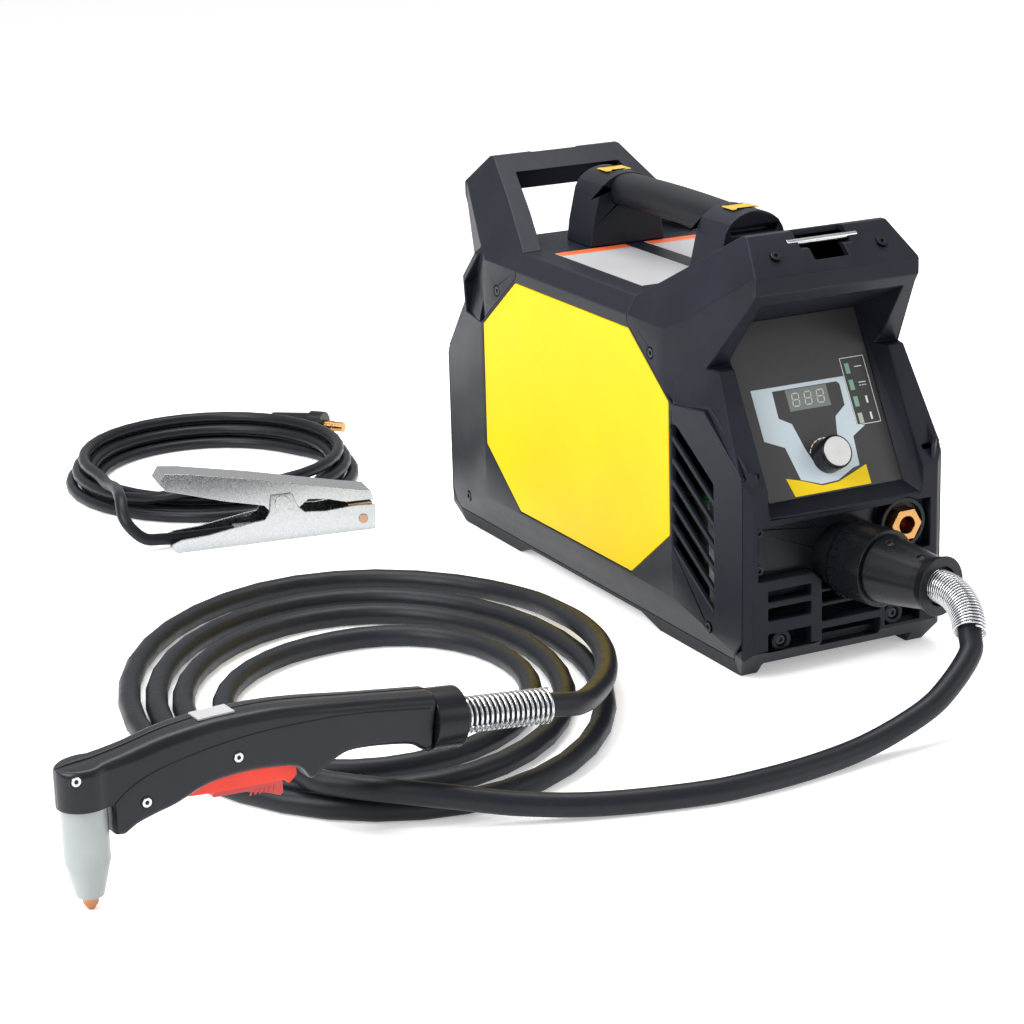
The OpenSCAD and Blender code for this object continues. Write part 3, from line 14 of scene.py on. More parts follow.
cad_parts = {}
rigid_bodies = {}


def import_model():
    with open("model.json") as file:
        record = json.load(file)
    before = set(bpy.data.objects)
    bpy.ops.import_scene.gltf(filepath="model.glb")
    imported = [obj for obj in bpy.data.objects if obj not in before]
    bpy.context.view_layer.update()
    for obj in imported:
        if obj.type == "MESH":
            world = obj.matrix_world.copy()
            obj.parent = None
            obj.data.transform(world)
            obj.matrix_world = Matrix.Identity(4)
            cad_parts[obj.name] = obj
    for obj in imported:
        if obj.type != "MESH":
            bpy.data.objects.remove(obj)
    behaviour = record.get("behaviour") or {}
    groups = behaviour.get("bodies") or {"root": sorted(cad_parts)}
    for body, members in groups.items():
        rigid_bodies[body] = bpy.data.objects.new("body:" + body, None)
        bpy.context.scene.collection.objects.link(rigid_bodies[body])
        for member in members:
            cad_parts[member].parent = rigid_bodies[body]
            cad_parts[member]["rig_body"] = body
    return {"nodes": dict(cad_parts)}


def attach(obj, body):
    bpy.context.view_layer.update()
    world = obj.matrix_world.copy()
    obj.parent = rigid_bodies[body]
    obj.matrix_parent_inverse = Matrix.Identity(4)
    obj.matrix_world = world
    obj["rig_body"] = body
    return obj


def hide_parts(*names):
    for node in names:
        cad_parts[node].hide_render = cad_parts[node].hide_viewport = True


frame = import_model()

LOG = logging.getLogger("plasma_unit")
MM = 0.001  # a millimetre in metres
Point = tuple[float, float, float]
Flat = tuple[float, float]


# ---- Shader toolkit ----


class Wire:
    """A node socket that Python's operators carry into Math nodes."""

    def __init__(self, shader: "Shader", socket: bpy.types.NodeSocket) -> None:
        """Keeps the socket and the shader that it belongs to."""
        self.shader = shader
        self.socket = socket

    def math(self, operation: str, *others: "Wire | float", swap: bool = False) -> "Wire":
        """Adds one Math node.

        Args:
            operation: the Math node's operation.
            others: the other values, wires or numbers.
            swap: puts this wire after the first of the others.
        Returns:
            The node's result.
        """
        values: list[Wire | float] = [self, *others]
        if swap:
            values[0], values[1] = values[1], values[0]
        return self.shader.node("ShaderNodeMath", {"operation": operation}, dict(enumerate(values)))

    def __add__(self, other: "Wire | float") -> "Wire":
        """Adds."""
        return self.math("ADD", other)

    __radd__ = __add__

    def __mul__(self, other: "Wire | float") -> "Wire":
        """Multiplies."""
        return self.math("MULTIPLY", other)

    __rmul__ = __mul__

    def __sub__(self, other: "Wire | float") -> "Wire":
        """Takes the other from this."""
        return self.math("SUBTRACT", other)

    def __rsub__(self, other: float) -> "Wire":
        """Takes this from the other."""
        return self.math("SUBTRACT", other, swap=True)

    def __lt__(self, other: "Wire | float") -> "Wire":
        """One where this is the lesser, and zero elsewhere."""
        return self.math("LESS_THAN", other)

    def step(self, low: float, high: float) -> "Wire":
        """A smooth rise from zero at low to one at high."""
        return self.shader.node(
            "ShaderNodeMapRange",
            {"interpolation_type": "SMOOTHSTEP"},
            {"Value": self, "From Min": low, "From Max": high},
        )


Value = Wire | float | Sequence[float]


class Shader:
    """A material under construction: one Principled surface and the nodes that feed it."""

    def __init__(self, name: str) -> None:
        """Starts an empty material of that name."""
        self.material = bpy.data.materials.new(name)
        self.material.use_nodes = True
        self.tree = self.material.node_tree
        self.surface = self.tree.nodes["Principled BSDF"]
        self.place = self.node("ShaderNodeTexCoord", {}, {}, output="Object")

    def node(self, kind: str, settings: dict, inputs: dict, output: str | int = 0) -> Wire:
        """Adds a node.

        Args:
            kind: the node's type.
            settings: its properties, set before its sockets.
            inputs: a value or wire for each socket, by name or number.
            output: the name or number of the output to return.
        Returns:
            The output asked for.
        """
        node = self.tree.nodes.new(kind)
        for key, value in settings.items():
            setattr(node, key, value)
        for key, value in inputs.items():
            self._feed(node.inputs[key], value)
        return Wire(self, node.outputs[output])

    def _feed(self, socket: bpy.types.NodeSocket, value: Value) -> None:
        """Links a wire to a socket, or sets its own value."""
        if isinstance(value, Wire):
            self.tree.links.new(value.socket, socket)
        elif isinstance(value, (tuple, list)) and len(value) == 3 and socket.type == "RGBA":
            socket.default_value = (*value, 1.0)
        else:
            socket.default_value = value

    def noise(self, size: float, detail: float = 2.0, rough: float = 0.5) -> Wire:
        """Noise with features of that size in metres."""
        return self.node(
            "ShaderNodeTexNoise",
            {},
            {"Vector": self.place, "Scale": 1.0 / size, "Detail": detail, "Roughness": rough},
        )

    def cells(self, size: float) -> Wire:
        """Distance to the nearest cell point, with cells of that size in metres."""
        return self.node(
            "ShaderNodeTexVoronoi", {"feature": "F1"}, {"Vector": self.place, "Scale": 1.0 / size}, "Distance"
        )

    def axis(self, name: str) -> Wire:
        """One coordinate of the place, X, Y or Z, in metres."""
        return self.node("ShaderNodeSeparateXYZ", {}, {0: self.place}, name)

    def blend(self, factor: Wire | float, first: Value, second: Value) -> Wire:
        """A colour between two, by the factor."""
        return self.node(
            "ShaderNodeMix", {"data_type": "RGBA"}, {0: factor, 6: first, 7: second}, output=2
        )

    def bump(self, height: Wire, depth: float) -> None:
        """Feeds the surface's normal with a height, one standing for depth in metres."""
        values = {"Strength": 1.0, "Distance": depth, "Height": height}
        self.set("Normal", self.node("ShaderNodeBump", {}, values, "Normal"))

    def set(self, name: str, value: Value) -> None:
        """Feeds one of the surface's sockets."""
        self._feed(self.surface.inputs[name], value)


# ---- Finishes ----


@dataclass(frozen=True)
class Finish:
    """What every finish has: its name and colour."""

    name: str
    color: Point

    def paint(self, shader: Shader) -> None:
        """Sets the colour alone."""
        shader.set("Base Color", self.color)

    def material(self) -> bpy.types.Material:
        """The finish's material, made once."""
        made = bpy.data.materials.get(self.name)
        if made is None:
            shader = Shader(self.name)
            self.paint(shader)
            made = shader.material
        return made


@dataclass(frozen=True)
class Moulded(Finish):
    """Moulded plastic with a fine etched grain and faint handling marks."""

    roughness: float = 0.5
    grain: float = 0.0007
    depth: float = 0.00006
    variation: float = 0.12
    gloss: float = 0.3

    def paint(self, shader: Shader) -> None:
        """Grain in the bump, cloudy colour and roughness."""
        shader.set("Specular IOR Level", self.gloss)
        cloud = shader.noise(0.05, 3.0)
        marks = shader.noise(0.008, 4.0, 0.7)
        dark = tuple(c * (1.0 - self.variation) for c in self.color)
        light = tuple(c * (1.0 + self.variation) + 0.001 for c in self.color)
        shader.set("Base Color", shader.blend(cloud.step(0.35, 0.65), dark, light))
        shader.set("Roughness", (cloud - 0.5) * 0.12 + (marks - 0.5) * 0.16 + self.roughness)
        shader.bump(shader.cells(self.grain) * 0.6 + shader.noise(self.grain * 0.6) * 0.4, self.depth)


@dataclass(frozen=True)
class Coated(Finish):
    """Powder-coated sheet: an even colour with a faint orange peel."""

    roughness: float = 0.35
    peel: float = 0.0018
    depth: float = 0.00004
    gloss: float = 0.4

    def paint(self, shader: Shader) -> None:
        """Peel in the bump, slight variation in colour and roughness."""
        shader.set("Specular IOR Level", self.gloss)
        cloud = shader.noise(0.09, 3.0)
        dark = tuple(c * 0.94 for c in self.color)
        shader.set("Base Color", shader.blend(cloud.step(0.3, 0.7), dark, self.color))
        shader.set("Roughness", (shader.noise(0.02, 4.0) - 0.5) * 0.12 + self.roughness)
        shader.bump(shader.noise(self.peel, 3.0), self.depth)


@dataclass(frozen=True)
class Metal(Finish):
    """Bare or plated metal with a fine mottle and a little tarnish."""

    roughness: float = 0.3
    tarnish: Point = (0.3, 0.3, 0.3)
    stain: float = 0.25

    def paint(self, shader: Shader) -> None:
        """Stains in the colour, mottle in roughness and bump."""
        cloud = shader.noise(0.012, 5.0, 0.65)
        shader.set("Base Color", shader.blend(cloud.step(0.5, 0.8) * self.stain, self.color, self.tarnish))
        shader.set("Metallic", 1.0)
        mottle = shader.noise(0.0005, 3.0, 0.6)
        shader.set("Roughness", (mottle - 0.5) * 0.25 + (cloud - 0.5) * 0.2 + self.roughness)
        shader.bump(mottle, 0.000008)


@dataclass(frozen=True)
class Spangled(Metal):
    """Zinc plating with soft cloudy crystals."""

    stain: float = 0.07

    def paint(self, shader: Shader) -> None:
        """Crystals over the metal."""
        super().paint(shader)
        crystals = shader.cells(0.003)
        haze = shader.noise(0.002, 4.0)
        shader.set("Roughness", (crystals - 0.4) * 0.06 + (haze - 0.5) * 0.1 + self.roughness)


@dataclass(frozen=True)
class Sheath(Finish):
    """Soft extruded rubber, dusty in places, with a fine scuffed grain."""

    roughness: float = 0.55

    def paint(self, shader: Shader) -> None:
        """Dust and scuffs over black rubber."""
        shader.set("Specular IOR Level", 0.24)
        dust = shader.noise(0.03, 5.0, 0.65).step(0.5, 0.85)
        grey = tuple(c * 1.7 + 0.006 for c in self.color)
        shader.set("Base Color", shader.blend(dust * 0.7, self.color, grey))
        shader.set("Roughness", dust * 0.2 + (shader.noise(0.004, 3.0) - 0.5) * 0.15 + self.roughness)
        shader.bump(shader.noise(0.0012, 4.0, 0.6), 0.00005)


@dataclass(frozen=True)
class Woven(Finish):
    """Printed film with a fine diagonal weave."""

    roughness: float = 0.42

    def paint(self, shader: Shader) -> None:
        """Two crossed sets of fine stripes, in colour and roughness."""
        across = shader.axis("X")
        up = shader.axis("Z")
        first = ((across + up) * (2 * math.pi / 0.0022)).math("SINE")
        second = ((across - up) * (2 * math.pi / 0.0022)).math("SINE")
        weave = (first * second) * 0.5 + 0.5
        dark = tuple(c * 0.72 for c in self.color)
        light = tuple(c * 1.3 for c in self.color)
        shader.set("Base Color", shader.blend(weave, dark, light))
        shader.set("Roughness", weave * 0.12 + (shader.noise(0.01, 3.0) - 0.5) * 0.1 + self.roughness)
        shader.bump(weave, 0.00001)


@dataclass(frozen=True)
class Glassy(Finish):
    """A window or lens: glossy, with a faint smoke under the surface."""

    roughness: float = 0.12

    def paint(self, shader: Shader) -> None:
        """Near-even colour under a clear coat."""
        cloud = shader.noise(0.01, 2.0)
        dark = tuple(c * 0.85 for c in self.color)
        shader.set("Base Color", shader.blend(cloud, dark, self.color))
        shader.set("Roughness", (shader.noise(0.003, 2.0) - 0.5) * 0.05 + self.roughness)
        shader.set("Coat Weight", 0.6)


@dataclass(frozen=True)
class CircuitBoard(Finish):
    """Green solder mask over copper tracks."""

    def paint(self, shader: Shader) -> None:
        """Tracks and pads as a cell pattern."""
        tracks = shader.cells(0.004) < 0.28
        shader.set("Base Color", shader.blend(tracks, self.color, (0.05, 0.3, 0.12)))
        shader.set("Roughness", tracks * 0.1 + 0.35)
        shader.bump(tracks, 0.00003)


class Palette(Enum):
    """The finishes of the unit."""

    FRAME = Moulded("frame_plastic", (0.0085, 0.0102, 0.0165), 0.42, 0.0007, 0.00006, 0.12, 0.17)
    BASE = Moulded("base_plastic", (0.0075, 0.0085, 0.0125), 0.55, 0.0007, 0.00006, 0.12, 0.15)
    COVER = Coated("cover_coat", (0.009, 0.011, 0.0175), 0.4, 0.0012, 0.00005, 0.2)
    YELLOW = Coated("yellow_coat", (0.8, 0.545, 0.0), 0.4, 0.002, 0.00003, 0.12)
    HANDLE = Moulded("handle_plastic", (0.0085, 0.0102, 0.0165), 0.38, 0.0007, 0.00006, 0.12, 0.2)
    GRIP = Moulded("grip_rubber", (0.0065, 0.0075, 0.011), 0.45, 0.001, 0.00008, 0.12, 0.2)
    BLACK = Moulded("black_plastic", (0.0045, 0.005, 0.0075), 0.3, 0.0007, 0.00003, 0.08, 0.25)
    TORCH = Moulded("torch_plastic", (0.0065, 0.0075, 0.0105), 0.34, 0.0006, 0.00004, 0.12, 0.26)
    PANEL = Moulded("panel_plastic", (0.03, 0.032, 0.037), 0.42)
    SCREW = Metal("black_screw", (0.035, 0.036, 0.04), 0.35)
    STEEL = Metal("bright_steel", (0.55, 0.56, 0.57), 0.22)
    WIRE = Metal("spring_wire", (0.6, 0.61, 0.63), 0.2)
    ZINC = Spangled("zinc_plate", (0.42, 0.44, 0.455), 0.26)
    BRASS = Metal("brass", (0.5, 0.27, 0.1), 0.26, (0.28, 0.13, 0.04), 0.35)
    COPPER = Metal("copper", (0.42, 0.18, 0.085), 0.27, (0.2, 0.07, 0.03), 0.4)
    SATIN = Metal("satin_aluminium", (0.5, 0.5, 0.49), 0.4)
    SHEATH = Sheath("torch_sheath", (0.0065, 0.0085, 0.0125), 0.44)
    SHEATH_THIN = Sheath("work_sheath", (0.0055, 0.0065, 0.0095), 0.4)
    RED = Moulded("trigger_red", (0.72, 0.032, 0.012), 0.36, 0.0007, 0.00004, 0.06, 0.35)
    PINK = Moulded("button_red", (0.46, 0.045, 0.04), 0.4, 0.0007, 0.00004, 0.06, 0.35)
    CUP = Moulded("cup_grey", (0.3, 0.325, 0.325), 0.34, 0.0012, 0.00006, 0.07, 0.45)
    GLASS = Glassy("display_glass", (0.16, 0.18, 0.16), 0.15)
    LAMP = Glassy("lamp_lens", (0.16, 0.36, 0.24), 0.3)
    FILM = Coated("label_film", (0.42, 0.42, 0.43), 0.35)
    BADGE = Coated("badge_film", (0.55, 0.36, 0.02), 0.3)
    BOARD = CircuitBoard("circuit_board", (0.006, 0.035, 0.016))
    IRON = Coated("laminated_iron", (0.05, 0.05, 0.055), 0.5)
    ROCKER = Moulded("rocker_red", (0.5, 0.02, 0.015), 0.3)
    OVERLAY = Coated("overlay_silver", (0.52, 0.6, 0.65), 0.36, 0.0009, 0.00002)
    OVERLAY_DARK = Woven("overlay_dark", (0.032, 0.03, 0.031), 0.46)
    CHEVRON = Coated("overlay_yellow", (0.85, 0.6, 0.0), 0.4, 0.0009, 0.00002, 0.2)
    MARK = Coated("overlay_white", (0.7, 0.71, 0.72), 0.4, 0.0009, 0.00001)
    LAMP_OFF = Glassy("lamp_lens_off", (0.4, 0.43, 0.36), 0.3)
    SEGMENT = Glassy("display_segment", (0.42, 0.47, 0.43), 0.25)
    ORANGE = Coated("label_orange", (0.8, 0.13, 0.03), 0.35)
    # Painted shadow: near-black for the torch's seam line, screw seats and sockets and neck rings, where gaps
    # and hollows are shaded.
    SEAM = Moulded("seam_shadow", (0.004, 0.004, 0.005), 0.6)
    JAW = Metal("dull_copper", (0.4, 0.24, 0.17), 0.32, (0.22, 0.12, 0.08), 0.5)


# ---- Mesh helpers ----


def place_object(name: str, mesh: bpy.types.Mesh, finish: Palette, body: str = "machine") -> bpy.types.Object:
    """Links a finished mesh as a piece.

    Args:
        name: the piece's name.
        mesh: its mesh, already in place.
        finish: its finish.
        body: the body that it rides on.
    Returns:
        The piece.
    """
    piece = bpy.data.objects.new(name, mesh)
    bpy.context.scene.collection.objects.link(piece)
    mesh.materials.clear()
    mesh.materials.append(finish.value.material())
    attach(piece, body)
    LOG.info("%s rides on %s", name, body)
    return piece


def from_bmesh(name: str, shape: bmesh.types.BMesh, smooth: bool = True) -> bpy.types.Mesh:
    """A mesh from a bmesh, with outward faces.

    Args:
        name: the mesh's name.
        shape: the bmesh, which is freed.
        smooth: shades it smooth.
    Returns:
        The mesh.
    """
    bmesh.ops.remove_doubles(shape, verts=shape.verts, dist=1e-7)
    bmesh.ops.recalc_face_normals(shape, faces=shape.faces)
    for face in shape.faces:
        face.smooth = smooth
    mesh = bpy.data.meshes.new(name)
    shape.to_mesh(mesh)
    shape.free()
    return mesh


# How a mesh is simplified and rounded: lengths in metres, angles in degrees.
SAME_POINT = 2e-6
SAME_PLANE = 0.15
STRIP_WIDTH = 0.0003
SHARP_EDGE = 28.0
# An edge that crosses more steeply than this sine limits the rounding to a share of its length.
CROSSING = 0.5
ROOM_SHARE = 0.42
# A rounding under this share of the full one is left out, and its edge stays sharp.
LEAST_ROUNDING = 0.12


def merge_flat(shape: bmesh.types.BMesh) -> None:
    """Merges triangles that lie in one plane into one face, unless it has a hole or is a thin strip.

    Args:
        shape: the triangulated shape.
    """
    bmesh.ops.remove_doubles(shape, verts=shape.verts, dist=SAME_POINT)
    bmesh.ops.dissolve_degenerate(shape, edges=shape.edges, dist=SAME_POINT / 2)
    shape.faces.ensure_lookup_table()
    seen: set[bmesh.types.BMFace] = set()
    flats: list[list[bmesh.types.BMFace]] = []
    limit = math.cos(math.radians(SAME_PLANE))
    for seed in shape.faces:
        if seed in seen:
            continue
        seen.add(seed)
        flat, queue = [seed], [seed]
        while queue:
            for edge in queue.pop().edges:
                if len(edge.link_faces) != 2:
                    continue
                for face in edge.link_faces:
                    if face not in seen and face.normal.dot(seed.normal) > limit:
                        seen.add(face)
                        flat.append(face)
                        queue.append(face)
        verts = {v for face in flat for v in face.verts}
        edges = {e for face in flat for e in face.edges}
        members = set(flat)
        rim = sum(e.calc_length() for e in edges if sum(face in members for face in e.link_faces) == 1)
        thin = sum(face.calc_area() for face in flat) < STRIP_WIDTH * rim
        if len(flat) > 1 and not thin and len(verts) - len(edges) + len(flat) == 1:
            flats.append(flat)
    for flat in flats:
        bmesh.ops.dissolve_faces(shape, faces=flat, use_verts=False)


def round_edges(shape: bmesh.types.BMesh, width: float) -> None:
    """Marks the edges that are rounded, each by as much as it has room for. One without room stays sharp.

    Args:
        shape: the shape.
        width: the full rounding in metres.
    """
    layer = shape.edges.layers.float.new("bevel_weight_edge")
    for edge in shape.edges:
        if len(edge.link_faces) != 2 or edge.calc_face_angle(0.0) < math.radians(SHARP_EDGE):
            continue
        along = edge.verts[1].co - edge.verts[0].co
        room = width
        for vert in edge.verts:
            for other in vert.link_edges:
                way = other.other_vert(vert).co - vert.co
                if other is edge or way.length < 1e-7 or along.length < 1e-7:
                    continue
                sine = way.normalized().cross(along.normalized()).length
                if sine > CROSSING:
                    room = min(room, ROOM_SHARE * way.length * sine)
        edge[layer] = room / width
        edge.smooth = room > LEAST_ROUNDING * width


@dataclass
class Dresser:
    """Makes softened copies of the frame's nodes."""

    nodes: dict[str, bpy.types.Object]

    def body_of(self, node: str) -> str:
        """The body that a node belongs to."""
        return str(self.nodes[node]["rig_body"])

    def soften(self, node: str, finish: Palette, width: float, segments: int) -> None:
        """Replaces a node by its copy with rounded edges.

        Args:
            node: the node's name.
            finish: its finish.
            width: the rounding in millimetres.
            segments: faces across the rounding.
        """
        shape = bmesh.new()
        shape.from_mesh(self.nodes[node].data)
        merge_flat(shape)
        round_edges(shape, width * MM)
        for face in shape.faces:
            face.smooth = True
        mesh = bpy.data.meshes.new(node + "_finished")
        shape.to_mesh(mesh)
        shape.free()
        piece = place_object(node + "_finished", mesh, finish, self.body_of(node))
        bevel = piece.modifiers.new("round", "BEVEL")
        bevel.width = width * MM
        bevel.segments = segments
        bevel.limit_method = "WEIGHT"
        bevel.use_clamp_overlap = False
        bevel.miter_outer = "MITER_ARC"
        piece.modifiers.new("normals", "WEIGHTED_NORMAL").keep_sharp = True
        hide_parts(node)

    def paint(self, node: str, finish: Palette) -> None:
        """Gives a node that stays as it is a better finish."""
        slot = self.nodes[node].material_slots[0]
        slot.link = "OBJECT"
        slot.material = finish.value.material()
        LOG.info("%s painted", node)


# ---- Paths ----


def unit(v: Vector) -> Vector:
    """The direction of a vector."""
    return v.normalized()


def spline(a: Vector, b: Vector, c: Vector, d: Vector, t: float) -> Vector:
    """A point between b and c on the smooth curve through four points."""
    bend = (2 * a - 5 * b + 4 * c - d) * t * t + (3 * b - a - 3 * c + d) * t**3
    return 0.5 * (2 * b + (c - a) * t + bend)


def smooth_path(points: Sequence[Vector], steps: int) -> list[Vector]:
    """A smooth path through points.

    Args:
        points: the points, first to last.
        steps: points made between each two.
    Returns:
        The path.
    """
    p = [Vector(q) for q in points]
    ends = [2 * p[0] - p[1], *p, 2 * p[-1] - p[-2]]
    path = [
        spline(ends[i], ends[i + 1], ends[i + 2], ends[i + 3], k / steps)
        for i in range(len(p) - 1)
        for k in range(steps)
    ]
    return path + [p[-1]]


def path_length(path: Sequence[Vector]) -> float:
    """The length along a path."""
    return sum((b - a).length for a, b in zip(path, path[1:]))


CURL_POINTS = 20


def helix(path: Sequence[Vector], radius: float, turns: int, wire: float) -> list[Vector]:
    """A helix round a path, its ends drawn in by the wire's own width.

    Args:
        path: the path that it winds round.
        radius: from the path to the wire's middle.
        turns: how many curls.
        wire: the wire's diameter.
    Returns:
        The wire's middle line.
    """
    total = path_length(path)
    marks = [0.0]
    for a, b in zip(path, path[1:]):
        marks.append(marks[-1] + (b - a).length)
    side = Vector((0, 0, 1))
    frames: list[tuple[Vector, Vector, Vector]] = []
    for i, p in enumerate(path):
        along = unit(path[min(i + 1, len(path) - 1)] - path[max(i - 1, 0)])
        side = unit(side - along * side.dot(along))
        frames.append((p, side, along.cross(side)))
    count = turns * CURL_POINTS
    out: list[Vector] = []
    for i in range(count + 1):
        s = wire + (total - 2 * wire) * i / count
        k = max(j for j in range(len(marks)) if marks[j] <= s + 1e-9)
        k = min(k, len(path) - 2)
        g = (s - marks[k]) / (marks[k + 1] - marks[k])
        centre, u, v = (frames[k][n].lerp(frames[k + 1][n], g) for n in range(3))
        angle = 2 * math.pi * i / CURL_POINTS
        out.append(centre + radius * (math.cos(angle) * unit(u) + math.sin(angle) * unit(v)))
    return out


def wire_piece(
    name: str, path: Sequence[Vector], diameter: float, finish: Palette, body: str = "machine", sides: int = 6
) -> bpy.types.Object:
    """A round wire or lead along a path, as a curve.

    Args:
        name: the piece's name.
        path: its middle line in metres.
        diameter: its diameter in metres.
        finish: its finish.
        body: the body that it rides on.
        sides: the bevel's resolution.
    Returns:
        The piece.
    """
    curve = bpy.data.curves.new(name, "CURVE")
    curve.dimensions = "3D"
    curve.bevel_depth = diameter / 2
    curve.bevel_resolution = sides
    curve.use_fill_caps = True
    curve.twist_mode = "MINIMUM"
    line = curve.splines.new("POLY")
    line.points.add(len(path) - 1)
    for point, place in zip(line.points, path):
        point.co = (*place, 1.0)
    line.use_smooth = True
    piece = bpy.data.objects.new(name, curve)
    bpy.context.scene.collection.objects.link(piece)
    curve.materials.append(finish.value.material())
    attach(piece, body)
    LOG.info("%s: %.0f mm", name, path_length(path) * 1000)
    return piece


# ---- Leads and springs ----


@dataclass
class Leads:
    """Routes of the two leads and of the springs round them, in millimetres until they are laid."""

    torch_lead: float = 16.0
    work_lead: float = 10.0
    conn_at: Vector = field(default_factory=lambda: Vector((6, -238, 79)))
    conn_turn: float = 11.0
    conn_face: float = 79.3
    bend_tilt: float = 40.0
    bend_turn: float = 60.0
    bend_radius: float = 53.0
    bend_start: float = 2.0
    torch_at: Vector = field(default_factory=lambda: Vector((-612, -353.6, 0)))
    torch_yaw: float = 5.0
    tail_lean: float = 7.0
    tail_sleeve: float = 73.0
    clamp_at: Vector = field(default_factory=lambda: Vector((-316.3, 281.5, 0)))
    clamp_yaw: float = -8.0
    plug_at: Vector = field(default_factory=lambda: Vector((-82, 524, 14)))
    plug_yaw: float = -50.0
    plug_rear: float = 46.0

    BEND_STEPS = 24
    # Where the torch lead's loops turn back on each side, from the outermost loop inwards.
    RIGHT = (-128, -163, -188, -214)
    LEFT = (-494, -477, -460, -438)
    BACK = (117, 72, 35, -20)
    FRONT = (-341, -303, -266, -266)
    # The work lead's loops: how far each lies outside the pile's middle line, and its height.
    PILE = [(12.2, 5), (0, 5), (-12.2, 5), (-6.1, 15.6), (6.1, 15.6), (0, 26.2)]
    PILE_AT = (-215.0, 452.0)
    PILE_RADII = (112.0, 118.0)
    PILE_START = 110
    PILE_TURN = 1875
    # How far round each of its loops the lead starts to cross to the next place, in degrees.
    CROSS_AT = [285, 235, 190, 145, 100]
    CROSS_OVER = 40

    def __post_init__(self) -> None:
        """Works out the connector's end and the bend in its spring."""
        a = math.radians(self.conn_turn)
        self.conn_dir = Vector((math.sin(a), -math.cos(a), 0))
        self.conn_end = self.conn_at + self.conn_dir * self.conn_face
        t = math.radians(self.bend_tilt)
        self.bend_down = -Vector((math.cos(a) * math.sin(t), math.sin(a) * math.sin(t), math.cos(t)))
        steps = self.BEND_STEPS
        self.bend = [self._bend_point(self.bend_turn * i / steps) for i in range(steps + 1)]
        lean = math.radians(self.tail_lean)
        self.tail_dir = Vector((math.cos(lean), -math.sin(lean)))
        self.tail_face = Vector((243, 65)) + self.tail_dir * 11

    def _bend_point(self, degrees: float) -> Vector:
        """A point on the bend below the connector."""
        a = math.radians(degrees)
        out = self.conn_dir * (self.bend_start + self.bend_radius * math.sin(a))
        return self.conn_end + out + self.bend_down * self.bend_radius * (1 - math.cos(a))

    @staticmethod
    def _turned(degrees: float, u: float, v: float, z: float) -> Vector:
        """A point turned about the vertical."""
        a = math.radians(degrees)
        return Vector((u * math.cos(a) - v * math.sin(a), u * math.sin(a) + v * math.cos(a), z))

    def in_torch(self, u: float, z: float, v: float = 0.0) -> Vector:
        """A point in the torch's own plane."""
        return self.torch_at + self._turned(self.torch_yaw, u, v, z)

    def in_clamp(self, u: float, v: float, z: float) -> Vector:
        """A point in the clamp's own frame."""
        return self.clamp_at + self._turned(self.clamp_yaw, u, v, z)

    @staticmethod
    def _along(values: Sequence[float], s: float) -> float:
        """A value between the listed ones."""
        k = max(0, min(math.floor(s), len(values) - 2))
        g = max(0.0, min(1.0, s - k))
        return values[k] * (1 - g) + values[k + 1] * g

    def torch_coil(self) -> list[Vector]:
        """The loops of the torch lead on the floor, whose four sides draw in from loop to loop."""
        points: list[Vector] = []
        for degrees in range(28, 1239, 10):
            right = self._along(self.RIGHT, degrees / 360)
            left = self._along(self.LEFT, (degrees - 180) / 360)
            back = self._along(self.BACK, (degrees - 82) / 360)
            front = self._along(self.FRONT, (degrees - 262) / 360)
            x = (right + left) / 2 + (right - left) / 2 * math.cos(math.radians(degrees))
            y = (back + front) / 2 + (back - front) / 2 * math.sin(math.radians(degrees + 8))
            points.append(Vector((x, y, self.torch_lead / 2)))
        return points

    def torch_path(self) -> list[Vector]:
        """The torch lead from the connector's cap to the torch's tail ring."""
        coil = self.torch_coil()
        coil_out = unit(coil[-1] - coil[-2])
        end = self.bend[-1]
        floor = smooth_path(
            [
                coil[-1], coil[-1] + coil_out * 6, Vector((-436, -152, 14)), Vector((-440, -190, 24.6)),
                Vector((-444, -240, 25)), Vector((-442, -290, 25)), Vector((-428, -314, 25)),
                Vector((-402, -340, 24.6)), Vector((-373, -358, 21)), Vector((-334, -373, 13.5)),
                Vector((-287, -389, 9)), Vector((-223, -405, 8)), Vector((-180, -407.5, 8)),
                Vector((-131, -403, 8)), Vector((-86, -397, 11.5)), Vector((-41, -392, 23.3)),
                Vector((-15, -385.3, 35.6)), end + 14 * unit(end - self.bend[-3]), end,
            ],
            6,
        )
        tail = [(0, 0), (6, 0.7), (16, 1.9), (40, 4.9), (74, 9.1)]
        drop = smooth_path(
            [
                *(self.in_torch(self.tail_face[0] + u, self.tail_face[1] - fall) for u, fall in tail),
                Vector((-261, -318, 49)), Vector((-229, -282, 40)),
                Vector((-200, -241.5, 33)), Vector((-175, -195, 28)), Vector((-158, -150, 24)),
                Vector((-148, -105, 20)), Vector((-142, -60, 14.5)), Vector((-140.5, -20, 10.2)), *coil[:2],
            ],
            6,
        )
        run = [self.conn_end, *self.bend] + floor[::-1][1:]
        return run + coil[:0:-1][1:] + drop[::-1][1:]

    def pile_point(self, degrees: float) -> Vector:
        """A point of the work lead's pile of loops."""
        last = len(self.CROSS_AT)
        k = min(last, math.floor(degrees / 360))
        offset, height = self.PILE[k]
        if k < last:
            s = max(0.0, min(1.0, (degrees - 360 * k - self.CROSS_AT[k]) / self.CROSS_OVER))
            s = s * s * (3 - 2 * s)
            offset += (self.PILE[k + 1][0] - offset) * s
            height += (self.PILE[k + 1][1] - height) * s
        a = math.radians(degrees + self.PILE_START)
        x, y = ((radius + offset) for radius in self.PILE_RADII)
        return Vector((self.PILE_AT[0] + x * math.cos(a), self.PILE_AT[1] + y * math.sin(a), height))

